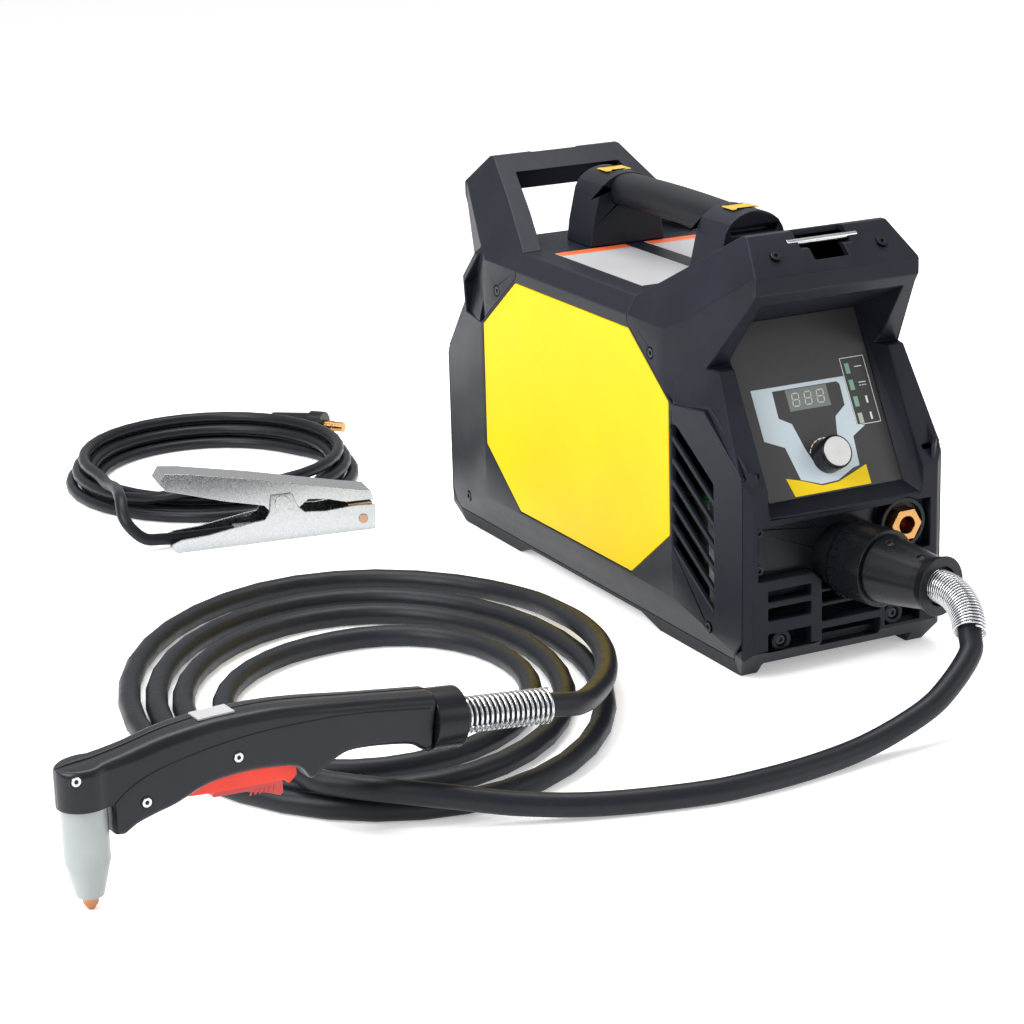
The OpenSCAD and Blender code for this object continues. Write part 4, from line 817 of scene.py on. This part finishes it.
    def work_path(self) -> list[Vector]:
        """The work lead from the clamp's lower arm to the plug."""
        coil = [self.pile_point(a) for a in (*range(0, self.PILE_TURN, 10), self.PILE_TURN)]
        coil_in = unit(coil[1] - coil[0])
        coil_out = unit(coil[-1] - self.pile_point(self.PILE_TURN - 15))
        plug_dir = self._turned(self.plug_yaw, 1, 0, 0)
        rear = self.plug_at - plug_dir * self.plug_rear
        start = smooth_path(
            [
                rear, rear - plug_dir * 6, rear - plug_dir * 14, rear - plug_dir * 24 + Vector((-3, 0, -2)),
                Vector((-155, 590, 7)), Vector((-180, 594, 5.8)), Vector((-206, 593.6, 5.3)),
                coil[0] - coil_in * 30 + Vector((0, 0, 0.12)), coil[0] - coil_in * 16 + Vector((0, 0, 0.06)),
                coil[0] - coil_in * 7, coil[0],
            ],
            6,
        )
        finish = smooth_path(
            [
                coil[-1], coil[-1] + coil_out * 7, coil[-1] + coil_out * 16, Vector((-330, 402, 26.6)),
                Vector((-335, 370, 33)), Vector((-343, 338, 38.5)), Vector((-350, 312, 39)),
                Vector((-353, 295, 26)), Vector((-342, 285.5, 12)), self.in_clamp(-10, 0, 9),
                self.in_clamp(20, 0, 8), self.in_clamp(40, 0, 8), self.in_clamp(50, 0, 8),
            ],
            6,
        )
        return finish[::-1] + coil[::-1][1:] + start[::-1][1:]

    def lay(self) -> None:
        """Lays both leads and winds the springs."""
        torch = [p * MM for p in self.torch_path()]
        lead = wire_piece("torch_lead", torch, self.torch_lead * MM, Palette.SHEATH, sides=8)
        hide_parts("torch_lead_run", "torch_lead_coil", "torch_lead_drop")
        path_length(torch)
        work = [p * MM for p in self.work_path()]
        lead = wire_piece("work_lead", work, self.work_lead * MM, Palette.SHEATH_THIN, sides=6)
        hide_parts("work_lead_start", "work_lead_coil", "work_lead_finish")
        path_length(work)
        q, d = self.tail_face, self.tail_dir * self.tail_sleeve / 20
        sleeve = [self.in_torch(q[0] + d[0] * i, q[1] + d[1] * i) for i in range(21)]
        self.wind("connector_spring", [self.conn_end, *self.bend], 11.2, 24, 1.6)
        self.wind("torch_spring", sleeve, 10.95, 18, 2.1)

    def wind(self, node: str, sleeve: Sequence[Vector], radius: float, turns: int, wire: float) -> None:
        """Winds a strain spring, all in millimetres.

        Args:
            node: the plain spring that it replaces.
            sleeve: the middle line of what it is wound round.
            radius: from that line to the wire's middle.
            turns: how many curls.
            wire: the wire's diameter.
        """
        curls = helix([p * MM for p in sleeve], radius * MM, turns, wire * MM)
        piece = wire_piece(f"{node}_wire", curls, wire * MM, Palette.WIRE, sides=3)
        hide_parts(node)


# ---- Flat pieces and turned pieces ----


Lift = Callable[[float, float, float], Vector]


def prism(outline: Sequence[Flat], low: float, high: float, lift: Lift, shape: bmesh.types.BMesh) -> None:
    """Adds a flat-sided solid to a shape.

    Args:
        outline: its outline, in millimetres.
        low: its lower level.
        high: its upper level.
        lift: puts a point of the outline's plane in place.
        shape: the shape that it is added to.
    """
    rings = [[shape.verts.new(lift(x, y, z) * MM) for x, y in outline] for z in (low, high)]
    shape.faces.new(rings[0])
    shape.faces.new(rings[1])
    for i, a in enumerate(rings[0]):
        j = (i + 1) % len(outline)
        shape.faces.new((a, rings[0][j], rings[1][j], rings[1][i]))


def film(name: str, outlines: Iterable[Sequence[Flat]], low: float, high: float, lift: Lift, finish: Palette,
         body: str = "machine") -> bpy.types.Object:
    """Thin flat pieces of one finish.

    Args:
        name: the piece's name.
        outlines: the outlines, in millimetres.
        low: their lower level.
        high: their upper level.
        lift: puts a point in place.
        finish: their finish.
        body: the body that they ride on.
    Returns:
        The piece.
    """
    shape = bmesh.new()
    for outline in outlines:
        prism(outline, low, high, lift, shape)
    return place_object(name, from_bmesh(name, shape, smooth=False), finish, body)


def lathe(name: str, profile: Sequence[Flat], lift: Lift, finish: Palette, body: str = "machine",
          sides: int = 64) -> bpy.types.Object:
    """A turned piece.

    Args:
        name: the piece's name.
        profile: radius and height of each point, in millimetres.
        lift: puts a point in place.
        finish: its finish.
        body: the body that it rides on.
        sides: faces around it.
    Returns:
        The piece.
    """
    shape = bmesh.new()
    turns = [2 * math.pi * k / sides for k in range(sides)]
    rings = [
        [shape.verts.new(lift(r * math.cos(a), r * math.sin(a), z) * MM) for a in turns]
        for r, z in profile
    ]
    for low, high in zip(rings, rings[1:]):
        for k in range(sides):
            j = (k + 1) % sides
            shape.faces.new((low[k], low[j], high[j], high[k]))
    shape.faces.new(rings[0])
    shape.faces.new(rings[-1])
    piece = place_object(name, from_bmesh(name, shape), finish, body)
    piece.modifiers.new("normals", "WEIGHTED_NORMAL").keep_sharp = True
    return piece


# ---- Control panel ----


@dataclass
class ControlPanel:
    """Overlay films, display digits, lamp box marks and the knob, in millimetres."""

    lean: float = 29.1
    y: float = -223.0
    z: float = 126.0
    knob_v: float = 26.0
    display: Flat = (-2.25, 70.5)
    lamp_x: float = 36.3

    # Outlines on the panel: across from its middle and up its slope.
    SILVER = [(-47, 82), (31.5, 82), (31.5, 45), (38, 44), (26, 37.5), (24.5, 16), (19, 15), (4, 8),
              (-10, 7.3), (-26, 12.8), (-31.7, 37.5), (-47, 44.3)]
    DARK = [(-30, 79), (24.5, 79), (26.5, 77), (26, 61), (16, 54), (13.5, 42), (12.8, 24), (-10, 20),
            (-15.5, 33), (-21, 53.5), (-30.5, 59)]
    CHEVRON = [(-37.7, 15.4), (-26, 12.1), (-10, 6.2), (4, 6.8), (30, 15.8), (30, 1.4), (-34, 1.4)]
    DIGITS = (-12.6, -2.2, 8.2)

    def lift(self, x: float, v: float, w: float) -> Vector:
        """Puts a point of the panel in place: across, up the slope, out of the face."""
        c, s = math.cos(math.radians(self.lean)), math.sin(math.radians(self.lean))
        return Vector((x, self.y + v * s - w * c, self.z + v * c + w * s))

    def on_knob(self, x: float, v: float, w: float) -> Vector:
        """Puts a point of the knob in place."""
        return self.lift(x, v + self.knob_v, w)

    @staticmethod
    def rectangle(x: float, v: float, width: float, height: float, slant: float = 0.0) -> list[Flat]:
        """A rectangle about a middle, slanted by so much at the top."""
        w, h = width / 2, height / 2
        low, high = x - slant, x + slant
        return [(low - w, v - h), (low + w, v - h), (high + w, v + h), (high - w, v + h)]

    def digit(self, x: float) -> list[list[Flat]]:
        """The seven bars of one digit about x."""
        v = self.display[1]
        bars = [self.rectangle(x + 0.45 * k, v + 4.7 * k, 4.4, 0.9) for k in (-1, 0, 1)]
        for side in (-1, 1):
            for k in (-1, 1):
                bars.append(self.rectangle(x + 2.75 * side + 0.24 * k, v + 2.35 * k, 0.9, 3.6, 0.18))
        return bars

    def scale_ring(self) -> list[list[Flat]]:
        """Short marks round the knob that grow towards the top."""
        marks: list[list[Flat]] = []
        for k in range(7):
            a, b = (math.radians(160 - 18 * k - turn) for turn in (0, 14))
            inner, outer = 13.3, 13.9 + 0.14 * k
            corners = ((inner, a), (outer, a), (outer, b), (inner, b))
            marks.append([(r * math.cos(t), r * math.sin(t) + self.knob_v) for r, t in corners])
        return marks

    def icons(self) -> list[list[Flat]]:
        """Plain bars beside the lamps and the line of the lamp box."""
        box = [
            self.rectangle(42, 95, 20, 0.5), self.rectangle(42, 44.9, 20, 0.5),
            self.rectangle(32, 70, 0.5, 50), self.rectangle(52, 70, 0.5, 50),
        ]
        marks = [self.rectangle(45.5, v, 6, 0.7) for v in (87.6, 75.6)]
        marks += [self.rectangle(45.5 + dx, 73.4, 1.3, 0.7) for dx in (-2.2, 0, 2.2)]
        marks += [self.rectangle(45.5, v, 1.6, 5.4) for v in (62.5, 50.2)]
        return box + marks

    def lay(
        self, name: str, outlines: Iterable[Sequence[Flat]], low: float, high: float, finish: Palette
    ) -> None:
        """Lays a film on the panel between two heights over its face."""
        film(name, outlines, low, high, self.lift, finish)

    def build(self) -> None:
        """Lays the films and turns the knob."""
        lenses = [self.rectangle(self.lamp_x, v, 3.6, 7.6) for v in (87, 74.5, 62, 49.5)]
        digits = [bar for x in self.DIGITS for bar in self.digit(x)]
        self.lay("panel_face", [self.rectangle(0, 66, 112.4, 131)], 0.0, 0.08, Palette.OVERLAY_DARK)
        self.lay("panel_silver", [self.SILVER], 0.08, 0.16, Palette.OVERLAY)
        self.lay("panel_inner", [self.DARK], 0.16, 0.22, Palette.OVERLAY_DARK)
        self.lay("panel_lamp_box", [self.rectangle(42, 70, 19.6, 49.6)], 0.16, 0.2, Palette.OVERLAY_DARK)
        self.lay("panel_chevron", [self.CHEVRON], 0.1, 0.2, Palette.CHEVRON)
        self.lay("panel_marks", self.icons() + self.scale_ring(), 0.2, 0.26, Palette.MARK)
        self.lay("display_pane", [self.rectangle(*self.display, 34.5, 16)], 0.22, 0.3, Palette.GLASS)
        self.lay("display_digits", digits, 0.3, 0.34, Palette.SEGMENT)
        self.lay("lamp_lenses", lenses[:3], 0.2, 0.5, Palette.LAMP)
        self.lay("lamp_lens_last", lenses[3:], 0.2, 0.5, Palette.LAMP_OFF)
        skirt = [(12.2, 0.3), (12.5, 0.9), (12.5, 13.6), (12.1, 15.0), (11.3, 15.7), (10.9, 15.7)]
        knob = lathe("knob_skirt", skirt, self.on_knob, Palette.BLACK, "knob")
        face = [(10.95, 15.2), (10.9, 15.75), (10.5, 16.0)]
        lathe("knob_face", face, self.on_knob, Palette.SATIN, "knob")
        pointer = self.rectangle(0, 9.3, 0.7, 1.6)
        film("knob_pointer", [pointer], 16.0, 16.05, self.on_knob, Palette.SATIN, "knob")
        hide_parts("knob")


# ---- Handle, labels and torch ----


@dataclass
class Handle:
    """The arched grip with its finger hollows, in millimetres."""

    middle_z: float = 296.7
    half_length: float = 74.0
    half_width: float = 14.6
    swell: float = 1.4
    above: float = 13.3
    below: float = 12.6
    hollow: float = 0.9
    fingers: int = 4

    STEPS = 60
    SIDES = 40

    def ring(self, t: float) -> list[Vector]:
        """The grip's rounded section at t, from 0 at the front post to 1 at the rear one."""
        arch = math.sin(math.pi * t)
        wide = self.half_width + self.swell * arch
        pressed = self.hollow * (0.5 - 0.5 * math.cos(2 * math.pi * self.fingers * t)) * arch
        points: list[Vector] = []
        for k in range(self.SIDES):
            a = 2 * math.pi * k / self.SIDES
            c, n = math.cos(a), math.sin(a)
            tall = self.above if n > 0 else self.below - pressed
            x = wide * math.copysign(abs(c) ** 0.8, c)
            z = self.middle_z + arch + tall * math.copysign(abs(n) ** 0.85, n)
            points.append(Vector((x, self.half_length * (2 * t - 1), z)))
        return points

    def build(self) -> None:
        """Lofts the grip between the posts."""
        shape = bmesh.new()
        rings = [[shape.verts.new(p * MM) for p in self.ring(i / self.STEPS)] for i in range(self.STEPS + 1)]
        for a, b in zip(rings, rings[1:]):
            for k in range(self.SIDES):
                j = (k + 1) % self.SIDES
                shape.faces.new((a[k], a[j], b[j], b[k]))
        shape.faces.new(rings[0])
        shape.faces.new(rings[-1])
        piece = place_object("grip_sleeve", from_bmesh("grip_sleeve", shape), Palette.GRIP)
        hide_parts("handle_grip")


@dataclass
class Labels:
    """The coloured bands across the labels on the cover's top, in millimetres."""

    top: float = 254.4
    thick: float = 0.05
    front: float = 60.0
    rear: float = 71.6

    ACROSS = [(-65.6, -4.4), (14.4, 65.6)]

    def build(self) -> None:
        """Lays a band on each label."""
        bands = [[(a, self.front), (b, self.front), (b, self.rear), (a, self.rear)] for a, b in self.ACROSS]
        film("label_bands", bands, self.top, self.top + self.thick, lambda *p: Vector(p), Palette.ORANGE)


@dataclass
class Torch:
    """The torch's two moulded halves, with a line of painted shadow along their seam, their trigger slot and
    small marks, in millimetres.
    """

    leads: Leads

    # The torch's top and underside, its half width, its seam and its screws, each by its place along it.
    TOP = [(-16.5, 92.6), (-10, 92.9), (6, 94), (26, 97), (52, 102), (78, 104.4), (94, 104.4), (120, 103.4),
           (146, 100.3), (173, 96), (201, 91.7), (234, 86.5)]
    LOW = [(14.6, 47.4), (20, 46.4), (28, 50.8), (41, 54.5), (54, 57.6), (75, 65), (102, 66.8), (129, 63.6),
           (139, 59), (144, 51.8), (152, 56), (164, 61.4), (174, 63.3), (195, 61), (217, 56.6), (228.5, 50.8),
           (234, 51)]
    WIDE = [(9, 14), (30, 14.1), (60, 15), (150, 15), (190, 13.6), (234, 14)]
    SEAM = [(13, 67, 14.1), (24, 75.5, 14.1), (43, 83, 14.5), (74, 88.5, 15), (110, 91, 15), (150, 89.9, 15),
            (179, 87, 14), (229, 79, 14)]
    SCREWS = [(-9.5, 88, 14.5), (34, 64.3, 14.4), (95, 78.5, 15.0)]
    HEAD_RADIUS = 16.5
    NECK_HALF = 14.0
    HEAD_LOW = 67.0
    HEAD_END = 14.6
    SLOT_START = 53.01
    SLOT_LENGTH = 86.0
    SLOT_HALF = 7.05
    SLOT_ROOF = (62.0, 74.0)
    TAIL = 234.0

    @staticmethod
    def read(line: Sequence[Flat], u: float) -> float:
        """Height of a line at u."""
        for (a, b), (c, d) in zip(line, line[1:]):
            if u <= c:
                return b + (d - b) * max(0.0, (u - a) / (c - a))
        return line[-1][1]

    def section(self, u: float, web: bool, slot: bool) -> list[Flat]:
        """Half of the torch's section at u, from the middle of the top to the middle of the bottom."""
        top = self.read(self.top, u)
        low = self.read(self.low, u) if web else self.HEAD_LOW
        wide = self.read(self.WIDE, u)
        if u < 9:
            wide = self.NECK_HALF
            if u < 0 or u * u < self.HEAD_RADIUS**2 - self.NECK_HALF**2:
                wide = math.sqrt(max(0.04, self.HEAD_RADIUS**2 - min(u, 8.7) ** 2))
        r = min(4.5 + 2.5 * max(0.0, min(1.0, (u - 2) / 30)), wide * 0.6, (top - low) * 0.45)
        q = min(4.5, wide * 0.4, (top - low) * 0.3) if web else 1.0
        ring = [(0.0, top), ((wide - r) / 2, top - 0.1), (wide - r, top - 0.4)]
        for k in range(1, 8):
            a = math.radians(90 - 90 * k / 7)
            ring.append((wide - r + r * math.cos(a), top - 0.4 - r + r * math.sin(a)))
        ring.append((wide, (top + low) / 2))
        for k in range(6):
            a = math.radians(-18 * k)
            ring.append((wide - q + q * math.cos(a), low + q + q * math.sin(a)))
        inner = min(self.SLOT_HALF, wide - q)
        start, full = self.SLOT_ROOF
        roof = start + (full - start) * min(1.0, (u - 53) / 7) if slot else low
        return ring + [(inner, low), (inner, max(low, roof)), (0.0, max(low, roof))]

    def stations(self) -> list[tuple[float, bool, bool]]:
        """Where a section is taken, with whether it has the web below the head and the trigger's slot."""
        head = [-16.45 * math.cos(math.radians(11.25 * k)) for k in range(9)] + [3, 6, 8.7, 12, 14.59]
        neck = [self.HEAD_END, 17, 20, 24, 28, 32, 36, 41, 45, 49, 53]
        slot = [self.SLOT_START + self.SLOT_LENGTH * k / 36 for k in range(37)]
        tail = [139.02, 141, 143, 145, 147, 150, 153, 156, 160, 164, 168, 172, *range(177, 234, 4), self.TAIL]
        return (
            [(u, False, False) for u in head] + [(u, True, False) for u in neck]
            + [(u, True, True) for u in slot] + [(u, True, False) for u in tail]
        )

    def half(self, side: int) -> bpy.types.Mesh:
        """Lofts one half of the torch.

        Args:
            side: -1 for the near half, 1 for the far one.
        Returns:
            Its mesh.
        """
        shape = bmesh.new()
        rings = []
        for u, web, slot in self.stations():
            ring = self.section(u, web, slot)
            if u < self.HEAD_END:
                floor = ring[-1][1]
                ring = [(v, max(z, floor)) for v, z in ring]
            places = [self.leads.in_torch(self.lean(u, z), z, side * v) for v, z in ring]
            rings.append([shape.verts.new(place * MM) for place in places])
        count = len(rings[0])
        for a, b in zip(rings, rings[1:]):
            for k in range(count - 1):
                shape.faces.new((a[k], a[k + 1], b[k + 1], b[k]))
            shape.faces.new((a[-1], a[0], b[0], b[-1]))
        shape.faces.new(rings[0])
        shape.faces.new(rings[-1])
        bmesh.ops.remove_doubles(shape, verts=shape.verts[:], dist=0.00002)
        bmesh.ops.dissolve_degenerate(shape, dist=0.00002, edges=shape.edges[:])
        return from_bmesh(f"torch_half_{side}", shape)

    @staticmethod
    def lean(u: float, z: float) -> float:
        """Moves the rear end's points so that the face leans like the tail ring."""
        share = max(0.0, min(1.0, (u - 214) / 20))
        return u - share * (86.5 - z) * 0.15

    def build(self) -> None:
        """Makes both halves and adds the details to their sides."""
        self.top = [(p.x, p.y) for p in smooth_path([Vector((u, z, 0)) for u, z in self.TOP], 4)]
        self.low = [(p.x, p.y) for p in smooth_path([Vector((u, z, 0)) for u, z in self.LOW], 3)]
        for name, side in (("front", -1), ("back", 1)):
            piece = place_object(f"torch_shell_{name}", self.half(side), Palette.TORCH)
            piece.modifiers.new("normals", "WEIGHTED_NORMAL").keep_sharp = True
            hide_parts(f"torch_half_{name}")
            # A thin near-black wire along the seam: painted shadow in the gap between the halves.
            path = smooth_path([self.leads.in_torch(u, z, side * v) for u, z, v in self.SEAM], 5)
            wire_piece(f"torch_seam_{name}", [p * MM for p in path], 0.9 * MM, Palette.SEAM, sides=2)
        self.marks()
        self.screws()

    def screws(self) -> None:
        """Socket screws in the near side, each in a small seat of painted shadow, with a socket of painted
        shadow in its head.
        """
        for k, (u, z, v) in enumerate(self.SCREWS):

            def lift(x: float, y: float, w: float, u: float = u, z: float = z, v: float = v) -> Vector:
                return self.leads.in_torch(u + x, z + y, -v - w)

            # The seat and the socket are painted shadow: near-black where the recesses are shaded.
            seat = [(4.1, -1.2), (4.1, 0.12), (3.9, 0.16)]
            lathe(f"torch_screw_seat_{k}", seat, lift, Palette.SEAM, sides=32)
            head = [(3.1, -1.0), (3.1, 0.3), (2.8, 0.6), (1.6, 0.6), (1.45, 0.45), (1.4, 0.35)]
            lathe(f"torch_screw_{k}", head, lift, Palette.STEEL, sides=32)
            lathe(f"torch_screw_socket_{k}", [(1.5, 0.2), (1.42, 0.5)], lift, Palette.SEAM, sides=6)
        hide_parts("torch_screws")

    def marks(self) -> None:
        """Ridges on the back, bands of painted shadow in the grooves round the neck, and ribs on the
        trigger's button.
        """

        def over(u: float, v: float, w: float) -> Vector:
            return self.leads.in_torch(u, self.read(self.top, u) + w - 0.02 * v * v, v)

        bars = [[(u, -6), (u + 1.6, -6), (u + 1.6, 6), (u, 6)] for u in (148, 161, 174, 187, 200, 213)]
        film("torch_ridges", bars, -0.9, 0.35, over, Palette.TORCH)
        # Bands of painted shadow: near-black where the neck's grooves are shaded.
        bars = [[(u, -9), (u + 1.1, -9), (u + 1.1, 9), (u, 9)] for u in (31, 41)]
        film("torch_neck_rings", bars, -1.4, -0.2, over, Palette.SEAM)
        ribs = []
        for k in range(6):
            u = 106 + 3.2 * k
            ribs.append([(u, 47.4 - 0.1 * k), (u + 1.3, 47.4 - 0.1 * k), (u + 1.9, 50.4), (u + 0.6, 50.4)])
        for name, side in (("near", -1), ("far", 1)):

            def lift(u: float, z: float, w: float, side: int = side) -> Vector:
                return self.leads.in_torch(u, z, side * w)

            film(f"button_ribs_{name}", ribs, 4.2, 4.6, lift, Palette.PINK, "trigger_button")


# ---- Studio ----


@dataclass
class Studio:
    """Camera, floor, lights and backdrop."""

    azimuth: float = -26.86
    elevation: float = 17.12
    roll: float = -1.60
    focal: float = 2873.4
    place: Point = (-1.08923, -1.86232, 0.71962)
    picture: float = 1024.0
    sensor: float = 36.0
    floor_glow: float = 0.34
    ambient: float = 0.62
    middle: Point = (-0.2, 0.0, 0.1)

    def camera(self) -> None:
        """Sets the camera in front of the unit, to its left and above."""
        a, e, r = (math.radians(v) for v in (self.azimuth, self.elevation, self.roll))
        back = Vector((math.sin(a) * math.cos(e), -math.cos(a) * math.cos(e), math.sin(e)))
        right = unit(Vector((0, 0, 1)).cross(back))
        up = back.cross(right)
        rolled_right = math.cos(r) * right + math.sin(r) * up
        rolled_up = -math.sin(r) * right + math.cos(r) * up
        data = bpy.data.cameras.new("camera")
        data.sensor_width = self.sensor
        data.lens = self.focal / self.picture * self.sensor
        data.clip_end = 20.0
        camera = bpy.data.objects.new("camera", data)
        camera.matrix_world = Matrix.Translation(self.place) @ Matrix(
            (rolled_right, rolled_up, back)
        ).transposed().to_4x4()
        bpy.context.scene.collection.objects.link(camera)
        bpy.context.scene.camera = camera

    def floor(self) -> None:
        """A pale plain floor."""
        shape = bmesh.new()
        bmesh.ops.create_grid(shape, x_segments=1, y_segments=1, size=8.0)
        mesh = bpy.data.meshes.new("floor")
        shape.to_mesh(mesh)
        shape.free()
        plane = bpy.data.objects.new("floor", mesh)
        shader = Shader("floor_paper")
        cloud = shader.noise(1.5, 1.0)
        shader.set("Base Color", shader.blend(cloud, (0.93, 0.93, 0.93), (0.95, 0.95, 0.95)))
        shader.set("Roughness", 0.9)
        shader.set("Specular IOR Level", 0.1)
        shader.set("Emission Color", (1.0, 1.0, 1.0))
        shader.set("Emission Strength", self.floor_glow)
        mesh.materials.append(shader.material)
        bpy.context.scene.collection.objects.link(plane)

    def softbox(self, name: str, place: Point, size: Flat, watts: float) -> None:
        """A soft area light that points at the unit.

        Args:
            name: the light's name.
            place: where it hangs.
            size: its width and height.
            watts: its power.
        """
        data = bpy.data.lights.new(name, "AREA")
        data.shape = "RECTANGLE"
        data.size, data.size_y = size
        data.energy = watts
        lamp = bpy.data.objects.new(name, data)
        lamp.matrix_world = Matrix.Translation(place) @ (
            (Vector(place) - Vector(self.middle)).to_track_quat("Z", "Y").to_matrix().to_4x4()
        )
        bpy.context.scene.collection.objects.link(lamp)

    def backdrop(self) -> None:
        """White behind the unit, a softer grey for the light it gives."""
        world = bpy.data.worlds.new("studio")
        bpy.context.scene.world = world
        world.use_nodes = True
        tree = world.node_tree
        shown = tree.nodes["Background"]
        shown.inputs["Color"].default_value = (1, 1, 1, 1)
        shown.inputs["Strength"].default_value = 1.0
        ambient = tree.nodes.new("ShaderNodeBackground")
        ambient.inputs["Color"].default_value = (1, 1, 1, 1)
        ambient.inputs["Strength"].default_value = self.ambient
        rays = tree.nodes.new("ShaderNodeLightPath")
        mix = tree.nodes.new("ShaderNodeMixShader")
        tree.links.new(rays.outputs["Is Camera Ray"], mix.inputs[0])
        tree.links.new(ambient.outputs[0], mix.inputs[1])
        tree.links.new(shown.outputs[0], mix.inputs[2])
        tree.links.new(mix.outputs[0], tree.nodes["World Output"].inputs["Surface"])

    def build(self) -> None:
        """Sets everything up."""
        bpy.context.scene.view_settings.view_transform = "Standard"
        self.camera()
        self.floor()
        self.backdrop()
        self.softbox("key", (-1.9, -0.5, 1.5), (0.9, 1.4), 44)
        self.softbox("fill", (1.5, -1.7, 0.9), (0.7, 1.0), 9)
        self.softbox("top", (-0.1, 0.5, 2.0), (1.8, 1.0), 40)


# ---- Assemblies ----


@dataclass
class Unit:
    """The whole unit: softened copies of the frame's nodes with their finishes."""

    dresser: Dresser

    # Each node's finish, its rounding in millimetres and the faces across that. Zero keeps the mesh.
    SOFT = {
        "cover": (Palette.COVER, 1.2, 3),
        "base_tray": (Palette.BASE, 0.6, 2),
        "side_plate_left": (Palette.YELLOW, 0.7, 2),
        "side_plate_right": (Palette.YELLOW, 0.7, 2),
        "front_frame": (Palette.FRAME, 1.0, 3),
        "rear_frame": (Palette.FRAME, 1.0, 3),
        "tie_rods": (Palette.STEEL, 0.3, 2),
        "cabinet_screws": (Palette.SCREW, 0.25, 2),
        "handle": (Palette.HANDLE, 1.4, 3),
        "handle_badges": (Palette.BADGE, 0.3, 2),
        "labels": (Palette.FILM, 0.08, 1),
        "control_panel": (Palette.PANEL, 0.5, 2),
        "display_window": (Palette.GLASS, 0.3, 2),
        "panel_lamps": (Palette.LAMP, 0.3, 2),
        "display_board": (Palette.BOARD, 0.2, 1),
        "knob_shaft": (Palette.STEEL, 0.2, 1),
        "connector_plate": (Palette.BLACK, 0.5, 2),
        "torch_receptacle": (Palette.BLACK, 0.5, 2),
        "locking_ring": (Palette.BLACK, 0.5, 2),
        "boot": (Palette.BLACK, 0.7, 3),
        "boot_screws": (Palette.STEEL, 0.3, 2),
        "work_socket": (Palette.BRASS, 0.5, 2),
        "socket_collar": (Palette.BLACK, 0.4, 2),
        "rear_panel": (Palette.BASE, 0.4, 2),
        "fan_guard": (Palette.STEEL, 0.3, 2),
        "fan_frame": (Palette.BLACK, 0.5, 2),
        "fan_rotor": (Palette.BLACK, 0.3, 1),
        "switch_bezel": (Palette.BLACK, 0.5, 2),
        "switch_rocker": (Palette.ROCKER, 0.5, 2),
        "mains_gland": (Palette.BLACK, 0.5, 2),
        "air_inlet": (Palette.BRASS, 0.4, 2),
        "heat_sink": (Palette.SATIN, 0.3, 1),
        "main_board": (Palette.BOARD, 0.3, 1),
        "transformer": (Palette.IRON, 0.6, 1),
        "torch_tail_ring": (Palette.BLACK, 0.8, 3),
        "trigger_lever": (Palette.RED, 0.5, 2),
        "trigger_button": (Palette.PINK, 0.5, 2),
        "shield_cup": (Palette.CUP, 0.5, 2),
        "cutting_tip": (Palette.COPPER, 0.3, 2),
        "work_plug": (Palette.BLACK, 0.8, 3),
        "plug_pin": (Palette.BRASS, 0.3, 2),
        "clamp_lower": (Palette.ZINC, 0.4, 2),
        "clamp_upper": (Palette.ZINC, 0.4, 2),
        "clamp_rivet": (Palette.ZINC, 0.4, 2),
        "clamp_spring": (Palette.WIRE, 0.0, 1),
        "jaw_lower": (Palette.JAW, 0.4, 2),
        "jaw_upper": (Palette.JAW, 0.4, 2),
    }

    def build(self) -> None:
        """Dresses every node."""
        for node, (finish, width, segments) in self.SOFT.items():
            if width:
                self.dresser.soften(node, finish, width, segments)
            else:
                self.dresser.paint(node, finish)


def main() -> None:
    """Dresses the whole unit."""
    logging.basicConfig(level=logging.INFO, format="%(message)s")
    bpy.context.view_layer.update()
    Studio().build()
    Unit(Dresser(frame["nodes"])).build()
    leads = Leads()
    leads.lay()
    ControlPanel().build()
    Handle().build()
    Labels().build()
    Torch(leads).build()


if __name__ == "__main__":
    main()
